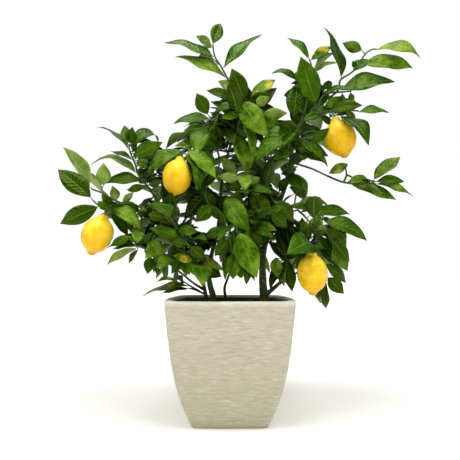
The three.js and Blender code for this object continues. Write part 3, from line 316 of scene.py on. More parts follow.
def linear(red: float, green: float, blue: float) -> tuple[float, float, float, float]:
    """A colour given as it is seen, from 0 to 255, as the shader takes it."""
    return (*Color((red / 255, green / 255, blue / 255)).from_srgb_to_scene_linear(), 1.0)


class Nodes:
    """A tree of shader nodes, added and joined by short calls."""

    def __init__(self, tree: bpy.types.NodeTree) -> None:
        """Takes the tree that the nodes are added to."""
        self.tree = tree

    def add(self, kind: str, *values: object, **settings: object) -> bpy.types.Node:
        """Adds a node.

        Args:
            kind: Its type after "ShaderNode".
            values: What its first inputs take, in their order.
            settings: Its properties, or its inputs by their names with spaces as underscores.

        Returns:
            The node.
        """
        node = self.tree.nodes.new(f"ShaderNode{kind}")
        for key, value in settings.items():
            if hasattr(node, key):
                setattr(node, key, value)
            else:
                self.feed(node.inputs[key.replace("_", " ")], value)
        for socket, value in zip(node.inputs, values):
            self.feed(socket, value)
        return node

    def feed(self, socket: Socket, value: object) -> None:
        """Sets an input, or links it where the value is an output.

        Args:
            socket: The input.
            value: A number, a colour, a vector or an output.
        """
        if isinstance(value, bpy.types.NodeSocket):
            self.tree.links.new(value, socket)
        else:
            socket.default_value = value

    def math(self, operation: str, *values: object) -> Socket:
        """The result of an operation on numbers or outputs."""
        return self.add("Math", *values, operation=operation).outputs[0]

    def plus(self, first: object, second: object) -> Socket:
        """The sum of two numbers or outputs."""
        return self.math("ADD", first, second)

    def times(self, first: object, second: object) -> Socket:
        """The product of two numbers or outputs."""
        return self.math("MULTIPLY", first, second)

    def off_half(self, value: Socket) -> Socket:
        """How far an output is from one half."""
        return self.math("ABSOLUTE", self.math("SUBTRACT", value, 0.5))

    def level(self, factor: Socket, low: float, high: float, start: float = 0.0, end: float = 1.0,
              curve: str = "LINEAR") -> Socket:
        """A number that goes from start to end while the factor goes from low to high."""
        node = self.add("MapRange", factor, low, high, start, end, interpolation_type=curve)
        return node.outputs["Result"]


class Pattern(Nodes):
    """The nodes of one material. Colours go in as they are seen, from 0 to 255."""

    def __init__(self, name: str) -> None:
        """Starts a material with only its shader and output.

        Args:
            name: The material's name.
        """
        self.material = bpy.data.materials.new(name)
        self.material.use_nodes = True
        super().__init__(self.material.node_tree)
        self.shader = self.tree.nodes["Principled BSDF"]

    def place(self, stretch: Placing = (1, 1, 1)) -> Socket:
        """Object coordinates, stretched."""
        coordinates = self.add("TexCoord").outputs["Object"]
        return self.add("Mapping", Vector=coordinates, Scale=stretch).outputs["Vector"]

    def tones(self) -> Sequence[Socket]:
        """The two numbers that the piece's vertices are painted with."""
        paint = self.add("Attribute", attribute_name="tone").outputs["Color"]
        return self.add("SeparateColor", paint).outputs[:2]

    def grain(self, where: Socket, scale: float, detail: float = 4.0,
              roughness: float = 0.55) -> Socket:
        """Noise between 0 and 1."""
        node = self.add("TexNoise", Vector=where, Scale=scale, Detail=detail, Roughness=roughness)
        return node.outputs["Fac"]

    def swing(self, grain: Socket, start: float, end: float) -> Socket:
        """A number that goes from start to end over the common range of noise."""
        return self.level(grain, 0.3, 0.7, start, end)

    def ramp(self, factor: Socket, *stops: tuple[float, Colour]) -> Socket:
        """A colour read off a ramp.

        Args:
            factor: Where on the ramp.
            stops: Positions and colours.

        Returns:
            The colour.
        """
        node = self.add("ValToRGB", factor)
        elements = node.color_ramp.elements
        while len(elements) < len(stops):
            elements.new(0.5)
        for element, (position, colour) in zip(elements, stops):
            element.position = position
            element.color = linear(*colour)
        return node.outputs["Color"]

    def cover(self, colour: Socket, share: Socket, upper: Colour) -> Socket:
        """A colour with another one laid over it.

        Args:
            colour: The colour below.
            share: How much of it is covered, from 0 to 1.
            upper: The colour laid over it.

        Returns:
            The colour.
        """
        node = self.add("Mix", data_type="RGBA", Factor=share)
        self.feed(node.inputs[6], colour)
        self.feed(node.inputs[7], linear(*upper))
        return node.outputs[2]

    def finished(self, colour: Socket, roughness: object, height: Socket | None = None,
                 depth: float = 0.0, gloss: float = 0.5,
                 sheen: Colour | None = None) -> bpy.types.Material:
        """Feeds the shader and gives the material.

        Args:
            colour: Its base colour.
            roughness: Its roughness.
            height: Height of its relief, from 0 to 1.
            depth: The relief's depth in millimetres.
            gloss: Its specular level.
            sheen: Colour of its gloss, where it isn't white.

        Returns:
            The material.
        """
        inputs = self.shader.inputs
        self.feed(inputs["Base Color"], colour)
        self.feed(inputs["Roughness"], roughness)
        self.feed(inputs["Specular IOR Level"], gloss)
        if sheen is not None:
            self.feed(inputs["Specular Tint"], linear(*sheen))
        if height is not None:
            bump = self.add("Bump", Height=height, Distance=depth * MM, Strength=1.0)
            self.feed(inputs["Normal"], bump.outputs["Normal"])
        return self.material


@dataclass(frozen=True)
class Finish:
    """The look of one kind of surface. Each kind makes its material once.

    Attributes:
        name: The material's name.
    """

    name: str

    def material(self) -> bpy.types.Material:
        """The finish's material, made at its first use."""
        return bpy.data.materials.get(self.name) or self.dress(Pattern(self.name))

    def dress(self, pattern: Pattern) -> bpy.types.Material:
        """Draws the finish's pattern.

        Args:
            pattern: An empty pattern of this finish's name.

        Returns:
            The finished material.
        """
        raise NotImplementedError


@dataclass(frozen=True)
class LeafFinish(Finish):
    """A leaf's upper or lower side, toned leaf by leaf, partly as painted light and shade, with its
    midrib and side veins.

    Attributes:
        darkest: Colour of the darkest leaf: an old leaf, and painted shade for leaves deep in the crown.
        middle: Colour of a common leaf.
        brightest: Colour of the brightest leaf: a young leaf, and painted light for lit leaves.
        vein: Colour of the midrib.
        yellow: Colour of a yellowing patch.
        roughness: Lowest and highest roughness.
        vein_share: How strongly the side veins show.
        relief: Depth of the veins' relief in millimetres.
        gloss: Specular level.
        sheen: Colour of the gloss.
        midrib_share: How strongly the midrib shows.
        vein_pairs: How many side veins there are from base to tip.
        vein_sweep: How far they lean to the tip, per unit of width.
        vein_wobble: How far they waver.
    """

    darkest: Colour
    middle: Colour
    brightest: Colour
    vein: Colour
    yellow: Colour
    roughness: Pair
    vein_share: float
    relief: float
    gloss: float
    sheen: Colour = (222, 246, 96)
    midrib_share: float = 0.55
    vein_pairs: float = 9.0
    vein_sweep: float = 0.42
    vein_wobble: float = 0.05

    def dress(self, pattern: Pattern) -> bpy.types.Material:
        """Draws blotches, veins, yellow patches and the quilted relief.

        Args:
            pattern: An empty pattern of this finish's name.

        Returns:
            The finished material.
        """
        uv = pattern.add("SeparateXYZ", pattern.add("UVMap", uv_map="UVMap").outputs[0]).outputs
        brightness, yellowness = pattern.tones()
        where = pattern.place()
        blotch = pattern.grain(where, 55.0, 5.0)
        bumps = pattern.grain(where, 90.0, 2.0)

        off_middle = pattern.off_half(uv[0])
        swept = pattern.math("SUBTRACT", uv[1], pattern.times(off_middle, self.vein_sweep))
        wobble = pattern.times(pattern.grain(where, 130.0, 2.0), self.vein_wobble)
        phase = pattern.math("FRACT", pattern.times(pattern.plus(swept, wobble), self.vein_pairs))
        off_vein = pattern.off_half(phase)
        side_vein = pattern.level(off_vein, 0.03, 0.12, 1.0, 0.0)
        midrib = pattern.level(off_middle, 0.008, 0.03, 1.0, 0.0)

        # Painted light and shade: the tone's brightness sets how lit or shaded each leaf looks, besides
        # its own colour.
        level = pattern.times(brightness, pattern.swing(blotch, 0.6, 1.4))
        colour = pattern.ramp(level, (0.0, self.darkest), (0.5, self.middle), (1.0, self.brightest))
        colour = pattern.cover(colour, pattern.times(side_vein, self.vein_share), self.vein)
        colour = pattern.cover(colour, pattern.times(midrib, self.midrib_share), self.vein)
        patch = pattern.level(pattern.grain(where, 42.0, 3.0), 0.5, 0.6)
        colour = pattern.cover(colour, pattern.times(patch, yellowness), self.yellow)
        pillow = pattern.level(off_vein, 0.0, 0.5, 1.0, 0.25)
        height = pattern.math("SUBTRACT", pattern.plus(pillow, pattern.times(bumps, 1.5)),
                              pattern.times(midrib, 0.8))
        return pattern.finished(colour, pattern.swing(blotch, *self.roughness), height, self.relief,
                                self.gloss, self.sheen)


@dataclass(frozen=True)
class BarkFinish(Finish):
    """Woody stems and green twigs.

    Attributes:
        dark: Colour of cracks and old bark.
        light: Colour of the smooth bark.
        fleck: Colour of pale flecks.
        fleck_share: How strongly the flecks show.
        relief: Depth of the grain in millimetres.
    """

    dark: Colour
    light: Colour
    fleck: Colour
    fleck_share: float
    relief: float

    def dress(self, pattern: Pattern) -> bpy.types.Material:
        """Draws grain along the stems and pale flecks.

        Args:
            pattern: An empty pattern of this finish's name.

        Returns:
            The finished material.
        """
        grain = pattern.grain(pattern.place((1, 1, 0.3)), 420.0, 6.0, 0.65)
        patches = pattern.grain(pattern.place(), 70.0, 4.0)
        shade = pattern.plus(pattern.times(grain, 0.6), pattern.times(patches, 0.4))
        colour = pattern.ramp(shade, (0.36, self.dark), (0.6, self.light))
        flecks = pattern.level(pattern.grain(pattern.place(), 260.0, 3.0), 0.58, 0.68)
        colour = pattern.cover(colour, pattern.times(flecks, self.fleck_share), self.fleck)
        return pattern.finished(colour, pattern.swing(grain, 0.6, 0.85), grain, self.relief)


@dataclass(frozen=True)
class PeelFinish(Finish):
    """Ripe lemon peel: waxy, finely pitted, with a browner shade round its ends, painted shade that
    deepens the yellow towards the nipple and painted highlight flecks near the neck.

    Attributes:
        shades: The ripe yellows, from the deepest to the palest; the deeper ones are laid towards the
            nipple as painted shade.
        fleck: Colour of the pale flecks near the neck: a painted highlight, speckled like gloss.
        worn: Colour of the ends.
        sheen: Colour of the gloss.
        pit_depth: In millimetres.
    """

    shades: tuple[Colour, Colour, Colour] = ((222, 156, 0), (240, 190, 2), (249, 214, 30))
    fleck: Colour = (252, 230, 128)
    worn: Colour = (150, 118, 32)
    sheen: Colour = (255, 238, 176)
    pit_depth: float = 0.16

    def dress(self, pattern: Pattern) -> bpy.types.Material:
        """Draws the pits, the warm blotches, the painted shade along the length, the painted highlight
        flecks and the ends.

        Args:
            pattern: An empty pattern of this finish's name.

        Returns:
            The finished material.
        """
        where = pattern.place()
        along, ends = pattern.tones()
        # Painted shade: the yellow deepens from the neck down to the nipple, on top of the ripe blotches.
        ripe = pattern.plus(pattern.grain(where, 45.0), pattern.level(along, 0.2, 1.0, 0.12, -0.14))
        colour = pattern.ramp(ripe, *zip((0.22, 0.5, 0.75), self.shades))
        # Painted highlight: pale flecks near the neck, where the peel's gloss is seen.
        flecks = pattern.level(pattern.grain(where, 430.0, 2.0), 0.5, 0.62)
        flecks = pattern.times(flecks, pattern.level(along, 0.3, 0.7, 0.5, 0.1))
        colour = pattern.cover(colour, flecks, self.fleck)
        patches = pattern.level(pattern.grain(where, 210.0), 0.35, 0.65, 0.35, 0.9)
        colour = pattern.cover(colour, pattern.times(ends, patches), self.worn)
        pits = pattern.add("TexVoronoi", Vector=where, Scale=400.0, feature="SMOOTH_F1",
                           Smoothness=0.35).outputs["Distance"]
        height = pattern.plus(pattern.level(pits, 0.0, 0.55),
                              pattern.times(pattern.grain(where, 160.0, 3.0), 0.6))
        roughness = pattern.swing(pattern.grain(where, 90.0, 3.0), 0.16, 0.28)
        return pattern.finished(colour, roughness, height, self.pit_depth, sheen=self.sheen)


@dataclass(frozen=True)
class StoneFinish(Finish):
    """The pot's cast face: pale, streaked level, darker and greener towards the floor, with painted shade
    in the grooves of its relief.

    Attributes:
        pot_height: Height of the pot in metres.
        shades: The stone's shades, from the deepest streak to the highest: painted shade in the relief's
            grooves and painted highlight on its ridges.
        foot: Colour that the face darkens to towards the foot.
        lip: Colour of the pale lip: a painted highlight where light falls on the rim's top.
        moss: Colour of the inner wall below the rim: painted shade inside the pot, mixed with moss.
        relief: Depth of the grain in millimetres.
    """

    pot_height: float
    shades: tuple[Colour, ...] = ((172, 167, 144), (198, 192, 171), (207, 202, 182), (228, 224, 209))
    foot: Colour = (166, 165, 133)
    lip: Colour = (236, 232, 216)
    moss: Colour = (32, 62, 8)
    relief: float = 0.9

    def dress(self, pattern: Pattern) -> bpy.types.Material:
        """Draws the streaks, the darkening towards the foot and the pale lip, which is a painted
        highlight.

        Args:
            pattern: An empty pattern of this finish's name.

        Returns:
            The finished material.
        """
        height = pattern.add("SeparateXYZ", pattern.place()).outputs[2]
        streaks = pattern.level(pattern.grain(pattern.place((1, 1, 8)), 60.0, 8.0, 0.68), 0.34, 0.66)
        fine = pattern.grain(pattern.place((1, 1, 4)), 240.0, 6.0, 0.66)
        relief, shade_and_moss = pattern.tones()
        # Painted shade and highlight: the colour follows the carved relief, darker in its grooves and
        # paler on its ridges.
        shade = pattern.plus(pattern.times(streaks, 0.35), pattern.times(relief, 0.65))
        colour = pattern.ramp(shade, *zip((0.15, 0.4, 0.62, 0.88), self.shades))
        # The face darkens in streaks from the rim down to the foot.
        darker_towards_foot = pattern.times(pattern.level(height, 0.0, self.pot_height, 1.0, 0.0),
                              pattern.level(streaks, 0.25, 0.75, 0.7, 0.35))
        colour = pattern.cover(colour, darker_towards_foot, self.foot)
        # Painted highlight: the top of the rim is paled where light falls on it.
        lip = pattern.level(height, self.pot_height * 0.955, self.pot_height * 0.985)
        colour = pattern.cover(colour, pattern.times(lip, 0.55), self.lip)
        # Painted shade: the inner wall below the rim turns dark mossy green, for the shade inside the pot
        # as well as moss.
        colour = pattern.cover(colour, pattern.times(shade_and_moss, 0.9), self.moss)
        bump = pattern.plus(pattern.times(streaks, 0.6), pattern.times(fine, 0.4))
        return pattern.finished(colour, pattern.swing(fine, 0.74, 0.95), bump, self.relief, 0.3)


@dataclass(frozen=True)
class SoilFinish(Finish):
    """Damp crumbly soil with a little moss.

    Attributes:
        shades: The crumbs' browns, from the wettest to the driest.
        moss: Colour of the moss.
        relief: Depth of the crumbs in millimetres.
    """

    shades: tuple[Colour, Colour, Colour] = ((14, 15, 6), (44, 42, 20), (84, 80, 44))
    moss: Colour = (42, 72, 16)
    relief: float = 1.6

    def dress(self, pattern: Pattern) -> bpy.types.Material:
        """Draws crumbs and moss.

        Args:
            pattern: An empty pattern of this finish's name.

        Returns:
            The finished material.
        """
        where = pattern.place()
        crumbs = pattern.grain(where, 260.0, 8.0, 0.7)
        colour = pattern.ramp(crumbs, *zip((0.3, 0.55, 0.75), self.shades))
        moss = pattern.level(pattern.grain(where, 28.0), 0.48, 0.6)
        colour = pattern.cover(colour, pattern.times(moss, 0.7), self.moss)
        return pattern.finished(colour, 0.95, crumbs, self.relief, 0.2)


@dataclass(frozen=True)
class PaperFinish(Finish):
    """The pale, plain floor.

    Attributes:
        shades: Its two all but equal whites.
        light: Colour of the light it adds.
        glow: How much light it adds, so that the shadows stay pale.
    """

    shades: tuple[Colour, Colour] = ((239, 238, 233), (243, 242, 238))
    light: Colour = (255, 250, 238)
    glow: float = 0.08

    def dress(self, pattern: Pattern) -> bpy.types.Material:
        """Draws an all but even white.

        Args:
            pattern: An empty pattern of this finish's name.

        Returns:
            The finished material.
        """
        faint = pattern.grain(pattern.place(), 3.0, 2.0)
        colour = pattern.ramp(faint, *zip((0.3, 0.7), self.shades))
        pattern.feed(pattern.shader.inputs["Emission Color"], linear(*self.light))
        pattern.feed(pattern.shader.inputs["Emission Strength"], self.glow)
        return pattern.finished(colour, 0.9, gloss=0.1)


# The leaf ramps run from painted shade at their darkest to painted light at their brightest, besides the
# leaves' own range.
LEAF_TOP = LeafFinish(
    "leaf_top", darkest=(12, 27, 1), middle=(47, 88, 5), brightest=(128, 160, 44),
    vein=(128, 158, 40), yellow=(222, 196, 58), roughness=(0.2, 0.36), vein_share=0.1, relief=0.45,
    gloss=0.36,
)
LEAF_UNDERSIDE = LeafFinish(
    "leaf_underside", darkest=(20, 40, 4), middle=(62, 96, 18), brightest=(134, 162, 74),
    vein=(146, 170, 80), yellow=(214, 202, 110), roughness=(0.45, 0.6), vein_share=0.15, relief=0.3,
    gloss=0.3,
)
GREEN_TWIG = BarkFinish("green_twig", dark=(22, 42, 8), light=(66, 100, 26), fleck=(132, 150, 72),
                        fleck_share=0.15, relief=0.15)
OLD_BARK = BarkFinish("old_bark", dark=(22, 30, 8), light=(76, 94, 36), fleck=(178, 188, 128),
                      fleck_share=0.4, relief=0.5)
PEEL = PeelFinish("lemon_peel")
STONE = StoneFinish("cast_stone", pot_height=0.215)
SOIL = SoilFinish("potting_soil")
PAPER = PaperFinish("pale_floor")


# ---- Leaves ------------------------------------------------------------------


def own_share(order: int) -> float:
    """A number from 0 to 1 that is a leaf's own, by its place in its shoot."""
    return (order * GOLDEN_STEP) % 1


class Side(Enum):
    """The side of a leaf that is seen from the front."""

    UPPER = "u"
    LOWER = "l"


class Tone(Enum):
    """How bright and how yellow a leaf is. The brightness is partly the leaf's own and partly painted
    light and shade: blackish and dark leaves stand in shade, bright ones in light.
    """

    BLACKISH = "k"
    DARK = "d"
    MIDDLE = "m"
    BRIGHT = "b"
    PALE = "p"
    YELLOWING = "y"
    FADED = "w"

    def amounts(self, order: int) -> Pair:
        """Brightness and yellowness of a leaf.

        Args:
            order: The leaf's place in its shoot.

        Returns:
            The two numbers, from 0 to 1.
        """
        brightness, yellowness = {
            Tone.BLACKISH: (0.08, 0.0),
            Tone.DARK: (0.26, 0.0),
            Tone.MIDDLE: (0.52, 0.0),
            Tone.BRIGHT: (0.7, 0.0),
            Tone.PALE: (0.82, 0.08),
            Tone.YELLOWING: (0.66, 0.7),
            Tone.FADED: (0.95, 1.0),
        }[self]
        return brightness + 0.1 * (own_share(order) - 0.5), yellowness


@dataclass(frozen=True)
class LeafForm:
    """The sizes that every leaf blade is worked out from.

    Attributes:
        width_ratio: Blade width over blade length.
        widest_ratio: The most that it can be.
        grown_width_ratio: The same for a leaf that grows by rule.
        fold: Rise of each half from the midrib, per unit of half width.
        wave: Rise and fall of the margin, per unit of length.
        waves: Waves of the margin from base to tip.
        spur: Least length of the stalk, in millimetres.
        grown_arch: Rise of a rule-grown blade's middle, per unit of length.
        short_length: Up to this length, in millimetres, a blade is short.
        short_stations: Where along it a short blade of the frame has its edge's corners.
        long_stations: The same for a long one.
        thickness: Of the blade, in millimetres.
        stalk_radius: In millimetres.
        stalk_shares: The stalk's radii from root to blade, as shares of it.
        stalk_rise: How far the stalk's middle is raised, in millimetres.
        neck: How far along the blade the stalk's width fades, in millimetres.
        droop: How far the tip bends down, per unit of length.
        droop_start: Where along the blade the bend starts.
        arch_kept: The share of the frame's arch that a finished blade keeps.
    """

    width_ratio: float = 0.44
    widest_ratio: float = 0.62
    grown_width_ratio: float = 0.48
    fold: float = 0.2
    wave: float = 0.028
    waves: float = 1.5
    spur: float = 8.0
    grown_arch: float = 0.13
    short_length: float = 48.0
    short_stations: tuple[float, ...] = (0.28, 0.7)
    long_stations: tuple[float, ...] = (0.17, 0.48, 0.8)
    thickness: float = 0.45
    stalk_radius: float = 0.8
    stalk_shares: tuple[float, ...] = (1.35, 1.0, 0.9, 0.5)
    stalk_rise: float = 0.3
    neck: float = 3.0
    droop: float = 0.04
    droop_start: float = 0.55
    arch_kept: float = 0.72


FORM = LeafForm()


@dataclass
class Leaf:
    """A leaf, in millimetres.

    Attributes:
        root: Where its stalk leaves the twig.
        base: Where its blade starts.
        tip: Where its blade ends.
        normal: The way that its upper side faces, about.
        width: Of the blade.
        arch: Rise of the blade's middle, per unit of length.
        order: Its place in its shoot.
        tone: How bright and how yellow it is.
        along: The way from base to tip.
        upper: The way that its upper side faces, square to that.
        side: The way across it.
        length: Of the blade.
    """

    root: Vector
    base: Vector
    tip: Vector
    normal: Vector
    width: float
    arch: float
    order: int
    tone: Tone
    along: Vector = field(init=False)
    upper: Vector = field(init=False)
    side: Vector = field(init=False)
    length: float = field(init=False)

    def __post_init__(self) -> None:
        """Works out the blade's own three ways."""
        way = self.tip - self.base
        self.length = way.length
        self.along = way.normalized()
        self.upper = (self.normal - self.along * self.normal.dot(self.along)).normalized()
        self.side = self.upper.cross(self.along)

    @staticmethod
    def plain_outline(share: float) -> float:
        """Half width of the frame's blade along its length, as a share of the widest."""
        return math.sin(math.pi * share ** 0.86) ** 0.84 if 0 < share < 1 else 0.0

    @staticmethod
    def fine_outline(share: float) -> float:
        """Half width of the real blade: rounded at its base and drawn out to a point."""
        if not 0 < share < 1:
            return 0.0
        return math.sin(math.pi * share ** 0.87) ** 0.96 * (1 - 0.3 * share ** 9)

    def point(self, share: float, across: float, outline: Callable[[float], float]) -> Vector:
        """A point of the blade's middle face.

        Args:
            share: From 0 at its base to 1 at its tip.
            across: From -1 to 1.
            outline: The outline that the half width follows.

        Returns:
            The point in millimetres.
        """
        rise = self.arch * self.length * 4 * share * (1 - share)
        slope = self.arch * 4 * (1 - 2 * share)
        square = (self.upper - self.along * slope).normalized()
        shape = outline(share)
        half = self.width / 2 * shape
        phase = self.order * GOLDEN_STEP * 2 * math.pi
        wave = FORM.wave * self.length * math.sin(2 * math.pi * FORM.waves * share + phase + across)
        fold = (FORM.fold * half + wave * shape) * abs(across)
        return (self.base + self.along * (self.length * share) + self.upper * rise
                + self.side * (half * across) + square * (fold if share < 1 else 0.0))

    def fine_point(self, share: float, across: float) -> Vector:
        """A point of the finished blade, with its drooping tip and the stalk's width at its base.

        Args:
            share: From 0 at its base to 1 at its tip.
            across: From -1 to 1.

        Returns:
            The point in millimetres.
        """
        point = self.point(share, across, self.fine_outline)
        point -= self.upper * ((1 - FORM.arch_kept) * self.arch * self.length * 4 * share * (1 - share))
        neck = max(0.0, 1 - share * self.length / FORM.neck)
        point += self.side * (FORM.stalk_radius * neck * across)
        bent = max(0.0, share - FORM.droop_start) ** 2 * 4
        return point - self.upper * (FORM.droop * self.length * bent)

    def misfit(self, surface: BVHTree) -> float:
        """How far the blade lies from a surface, on average, in millimetres.

        Args:
            surface: The surface of the frame's node, in metres.

        Returns:
            The mean distance of the corners of the frame's blade.
        """
        stations = FORM.long_stations if self.length > FORM.short_length else FORM.short_stations
        marks = [(1.0, 0.0), *((share, across) for share in stations for across in (-1, 1))]
        corners = [self.point(*mark, self.plain_outline) * MM for mark in marks]
        return sum(surface.find_nearest(corner)[3] / MM for corner in corners) / len(marks)

    def draw(self, skin: Skin, along_steps: int = 12, across_steps: int = 4) -> None:
        """Draws the blade as a bent grid.

        Args:
            skin: The mesh that it becomes part of.
            along_steps: Faces from its base to its tip.
            across_steps: Faces from edge to edge.
        """
        grid = bmesh.ops.create_grid(skin.mesh, x_segments=across_steps, y_segments=along_steps,
                                     size=1.0, calc_uvs=True)["verts"]
        tips = []
        for vert in grid:
            across, share = -vert.co.x, (vert.co.y + 1) / 2
            if share > 0.999:
                tips.append(vert)
            vert.co = self.fine_point(share, across) * MM
        skin.paint(grid, *self.tone.amounts(self.order))
        bmesh.ops.pointmerge(skin.mesh, verts=tips, merge_co=tips[0].co)

    def draw_stalk(self, skin: Skin) -> None:
        """Draws the stalk from the twig to the blade.

        Args:
            skin: The mesh that it becomes part of.
        """
        neck = self.fine_point(0.04, 0)
        middle = self.root.lerp(self.base, 0.5) + self.upper * FORM.stalk_rise
        path = smooth_path([self.root, middle, self.base, neck], step=3.0)
        skin.draw_tube(path, [FORM.stalk_radius * share for share in FORM.stalk_shares], sides=6)


# ---- Leafy shoots ------------------------------------------------------------

Row = tuple[float, float, float, float, float, str, float, float, str]


@dataclass
class Shoot:
    """A leafy shoot: green twigs with the leaves that are seen on them and those that grow by rule.

    Attributes:
        name: The frame's node that it stands for.
        twigs: Points of each twig as pixel across, pixel down and depth.
        rows: A row for each leaf seen: its base's and its tip's pixels, the width seen, the side
        seen, how much deeper the tip lies than the base, the arch and the tone, which holds painted light
        and shade as well as the leaf's own colour.
        fill: How many more leaves grow by rule.
        tip_steps: How far a seen leaf's tip may be moved in depth, in millimetres.
        turn_steps: How far it may be turned round its length, in radians.
        swings: How far a rule-grown leaf may be swung round its twig, in radians.
        lengths: How long it may be, in millimetres.
        twig_samples: Places tried between two points of a twig.
        root_shift: How far at most a seen leaf's stalk starts towards its blade, as a share.
        first_grown: Where along the twig the first rule-grown leaf may be.
        last_grown: Where the last one may be.
        grown_ahead: How far a rule-grown leaf leans along the twig.
        grown_ahead_at_tip: The same for the last one.
        grown_droop: How far it leans down.
        worst_misfit: Up to this mean distance, in millimetres, a leaf counts as found.
        twig_radii: The twigs' radii from start to end, in millimetres.
        routes: The twigs' points in millimetres.
        leaves: The leaves of the rows and the rule.
        inner: The inner leaves that the crown adds.
    """

    name: str
    twigs: list[list[Placing]]
    rows: list[Row]
    fill: int
    tip_steps: tuple[float, ...] = (0, 10, -10, 20, -20, 32, -32, 46, -46, 62, -62)
    turn_steps: tuple[float, ...] = (0, 0.35, -0.35, 0.7, -0.7)
    swings: tuple[float, ...] = (0, 0.5, -0.5, 1, -1, 1.6, -1.6, 2.3, 3.1)
    lengths: tuple[float, ...] = (74, 60, 46)
    twig_samples: int = 24
    root_shift: float = 0.1
    first_grown: float = 0.28
    last_grown: float = 0.97
    grown_ahead: float = 0.35
    grown_ahead_at_tip: float = 1.4
    grown_droop: float = 0.22
    worst_misfit: float = 1.2
    twig_radii: tuple[float, ...] = (2.1, 1.9, 1.4)
    routes: list[list[Vector]] = field(init=False)
    leaves: list[Leaf] = field(init=False)
    inner: list[Leaf] = field(default_factory=list)

    def __post_init__(self) -> None:
        """Places the twigs' points and the leaves."""
        self.routes = [[SIGHT.place(*point) for point in points] for points in self.twigs]
        self.leaves = self.placed_leaves()

    def nearest_root(self, distance: Callable[[Vector], float]) -> Vector:
        """The place on the twigs, short of their ends, with the least distance.

        Args:
            distance: Gives the distance of a place.

        Returns:
            The place in millimetres.
        """
        places = []
        for route in self.routes:
            for i, (start, end) in enumerate(zip(route, route[1:])):
                last = self.twig_samples if i + 2 < len(route) else self.twig_samples - 3
                places += [start.lerp(end, k / self.twig_samples) for k in range(last + 1)]
        return min(places, key=distance)

    def seen_leaf(self, row: Row, order: int) -> Callable[[float, float], Leaf]:
        """A leaf of a row, ready to be moved.

        Args:
            row: The leaf's row.
            order: Its place among the rows.

        Returns:
            A function that gives the leaf with its tip moved in depth and its blade turned.
        """
        base_across, base_down, tip_across, tip_down, width_seen, side, lean, arch, tone = row
        seen = Vector((base_across, base_down))
        root = self.nearest_root(lambda place: (SIGHT.seen(place) - seen).length)
        base = SIGHT.place(base_across, base_down, root.y)
        root = root.lerp(base, self.root_shift * own_share(order))
        if (base - root).length < FORM.spur / 2:
            away = (SIGHT.place(tip_across, tip_down, root.y) - base).normalized()
            base = root + away * (FORM.spur / 2)

        def moved(shift: float, turn: float) -> Leaf:
            """The leaf, moved.

            Args:
                shift: How much deeper its tip lies, in millimetres.
                turn: How far its blade is turned, in radians.

            Returns:
                The leaf.
            """
            tip = SIGHT.place(tip_across, tip_down, root.y + lean + shift)
            along = (tip - base).normalized()
            length = (tip - base).length
            seen_width = width_seen * SIGHT.pixel_size(base)
            width = min(max(FORM.width_ratio * length, seen_width), FORM.widest_ratio * length)
            to_eye = SIGHT.eye - base
            to_eye = (to_eye - along * to_eye.dot(along)).normalized()
            sideways = to_eye.cross(along) * (1 if tip_across >= base_across else -1)
            tilt = math.acos(min(1.0, seen_width / width))
            roll = (tilt if Side(side) is Side.UPPER else math.pi - tilt) + turn
            normal = to_eye * math.cos(roll) + sideways * math.sin(roll)
            return Leaf(root, base, tip, normal, width, arch, order, Tone(tone))

        return moved

    def grown_leaf(self, order: int) -> Callable[[float, float], Leaf]:
        """A leaf that grows by rule round the first twig.

        Args:
            order: Its place along the twig.

        Returns:
            A function that gives the leaf for a length and a swing round the twig.
        """
        route = self.routes[0]
        share = self.first_grown + (self.last_grown - self.first_grown) * (order + 0.5) / self.fill
        span = share * (len(route) - 1)
        i = min(int(span), len(route) - 2)
        root = route[i].lerp(route[i + 1], span - i)
        way = (route[i + 1] - route[i]).normalized()
        first = way.cross(UP).normalized()
        second = way.cross(first)

        def moved(length: float, swing: float) -> Leaf:
            """The leaf in one of its forms.

            Args:
                length: Of its blade, about, in millimetres.
                swing: How far it is swung round its twig, in radians.

            Returns:
                The leaf.
            """
            angle = order * GOLDEN_TURN + swing
            away = first * math.cos(angle) + second * math.sin(angle)
            ahead = self.grown_ahead_at_tip if order + 1 == self.fill else self.grown_ahead
            along = (away + way * ahead - UP * self.grown_droop).normalized()
            base = root + (along + away).normalized() * FORM.spur
            grown = length * (0.86 + 0.28 * own_share(order))
            normal = UP + (way + away) * self.grown_ahead
            tone = (Tone.DARK, Tone.MIDDLE, Tone.DARK, Tone.BRIGHT)[order % 4]
            return Leaf(root, base, base + along * grown, normal, grown * FORM.grown_width_ratio,
                        FORM.grown_arch, order, tone)

        return moved

    def placed_leaves(self) -> list[Leaf]:
        """The leaves of the rows and the rule, each in the place where the frame's node has it.

        Returns:
            The leaves, without those that would hide a gap where sky is seen.
        """
        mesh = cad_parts[self.name].data
        surface = BVHTree.FromPolygons([vert.co for vert in mesh.vertices],
                                       [face.vertices for face in mesh.polygons])
        choices = [[move(shift, turn) for turn in self.turn_steps for shift in self.tip_steps]
                   for move in (self.seen_leaf(row, i) for i, row in enumerate(self.rows))]
        choices += [[move(length, swing) for length in self.lengths for swing in self.swings]
                    for move in (self.grown_leaf(order) for order in range(self.fill))]
        placed = []
        for i, leaves in enumerate(choices):
            best = min(leaves, key=lambda leaf: leaf.misfit(surface))
            leaf = best if best.misfit(surface) < self.worst_misfit else leaves[0]
            if i < len(self.rows) or not in_sky_gap(SIGHT.seen(leaf.tip)):
                placed.append(leaf)
        return placed

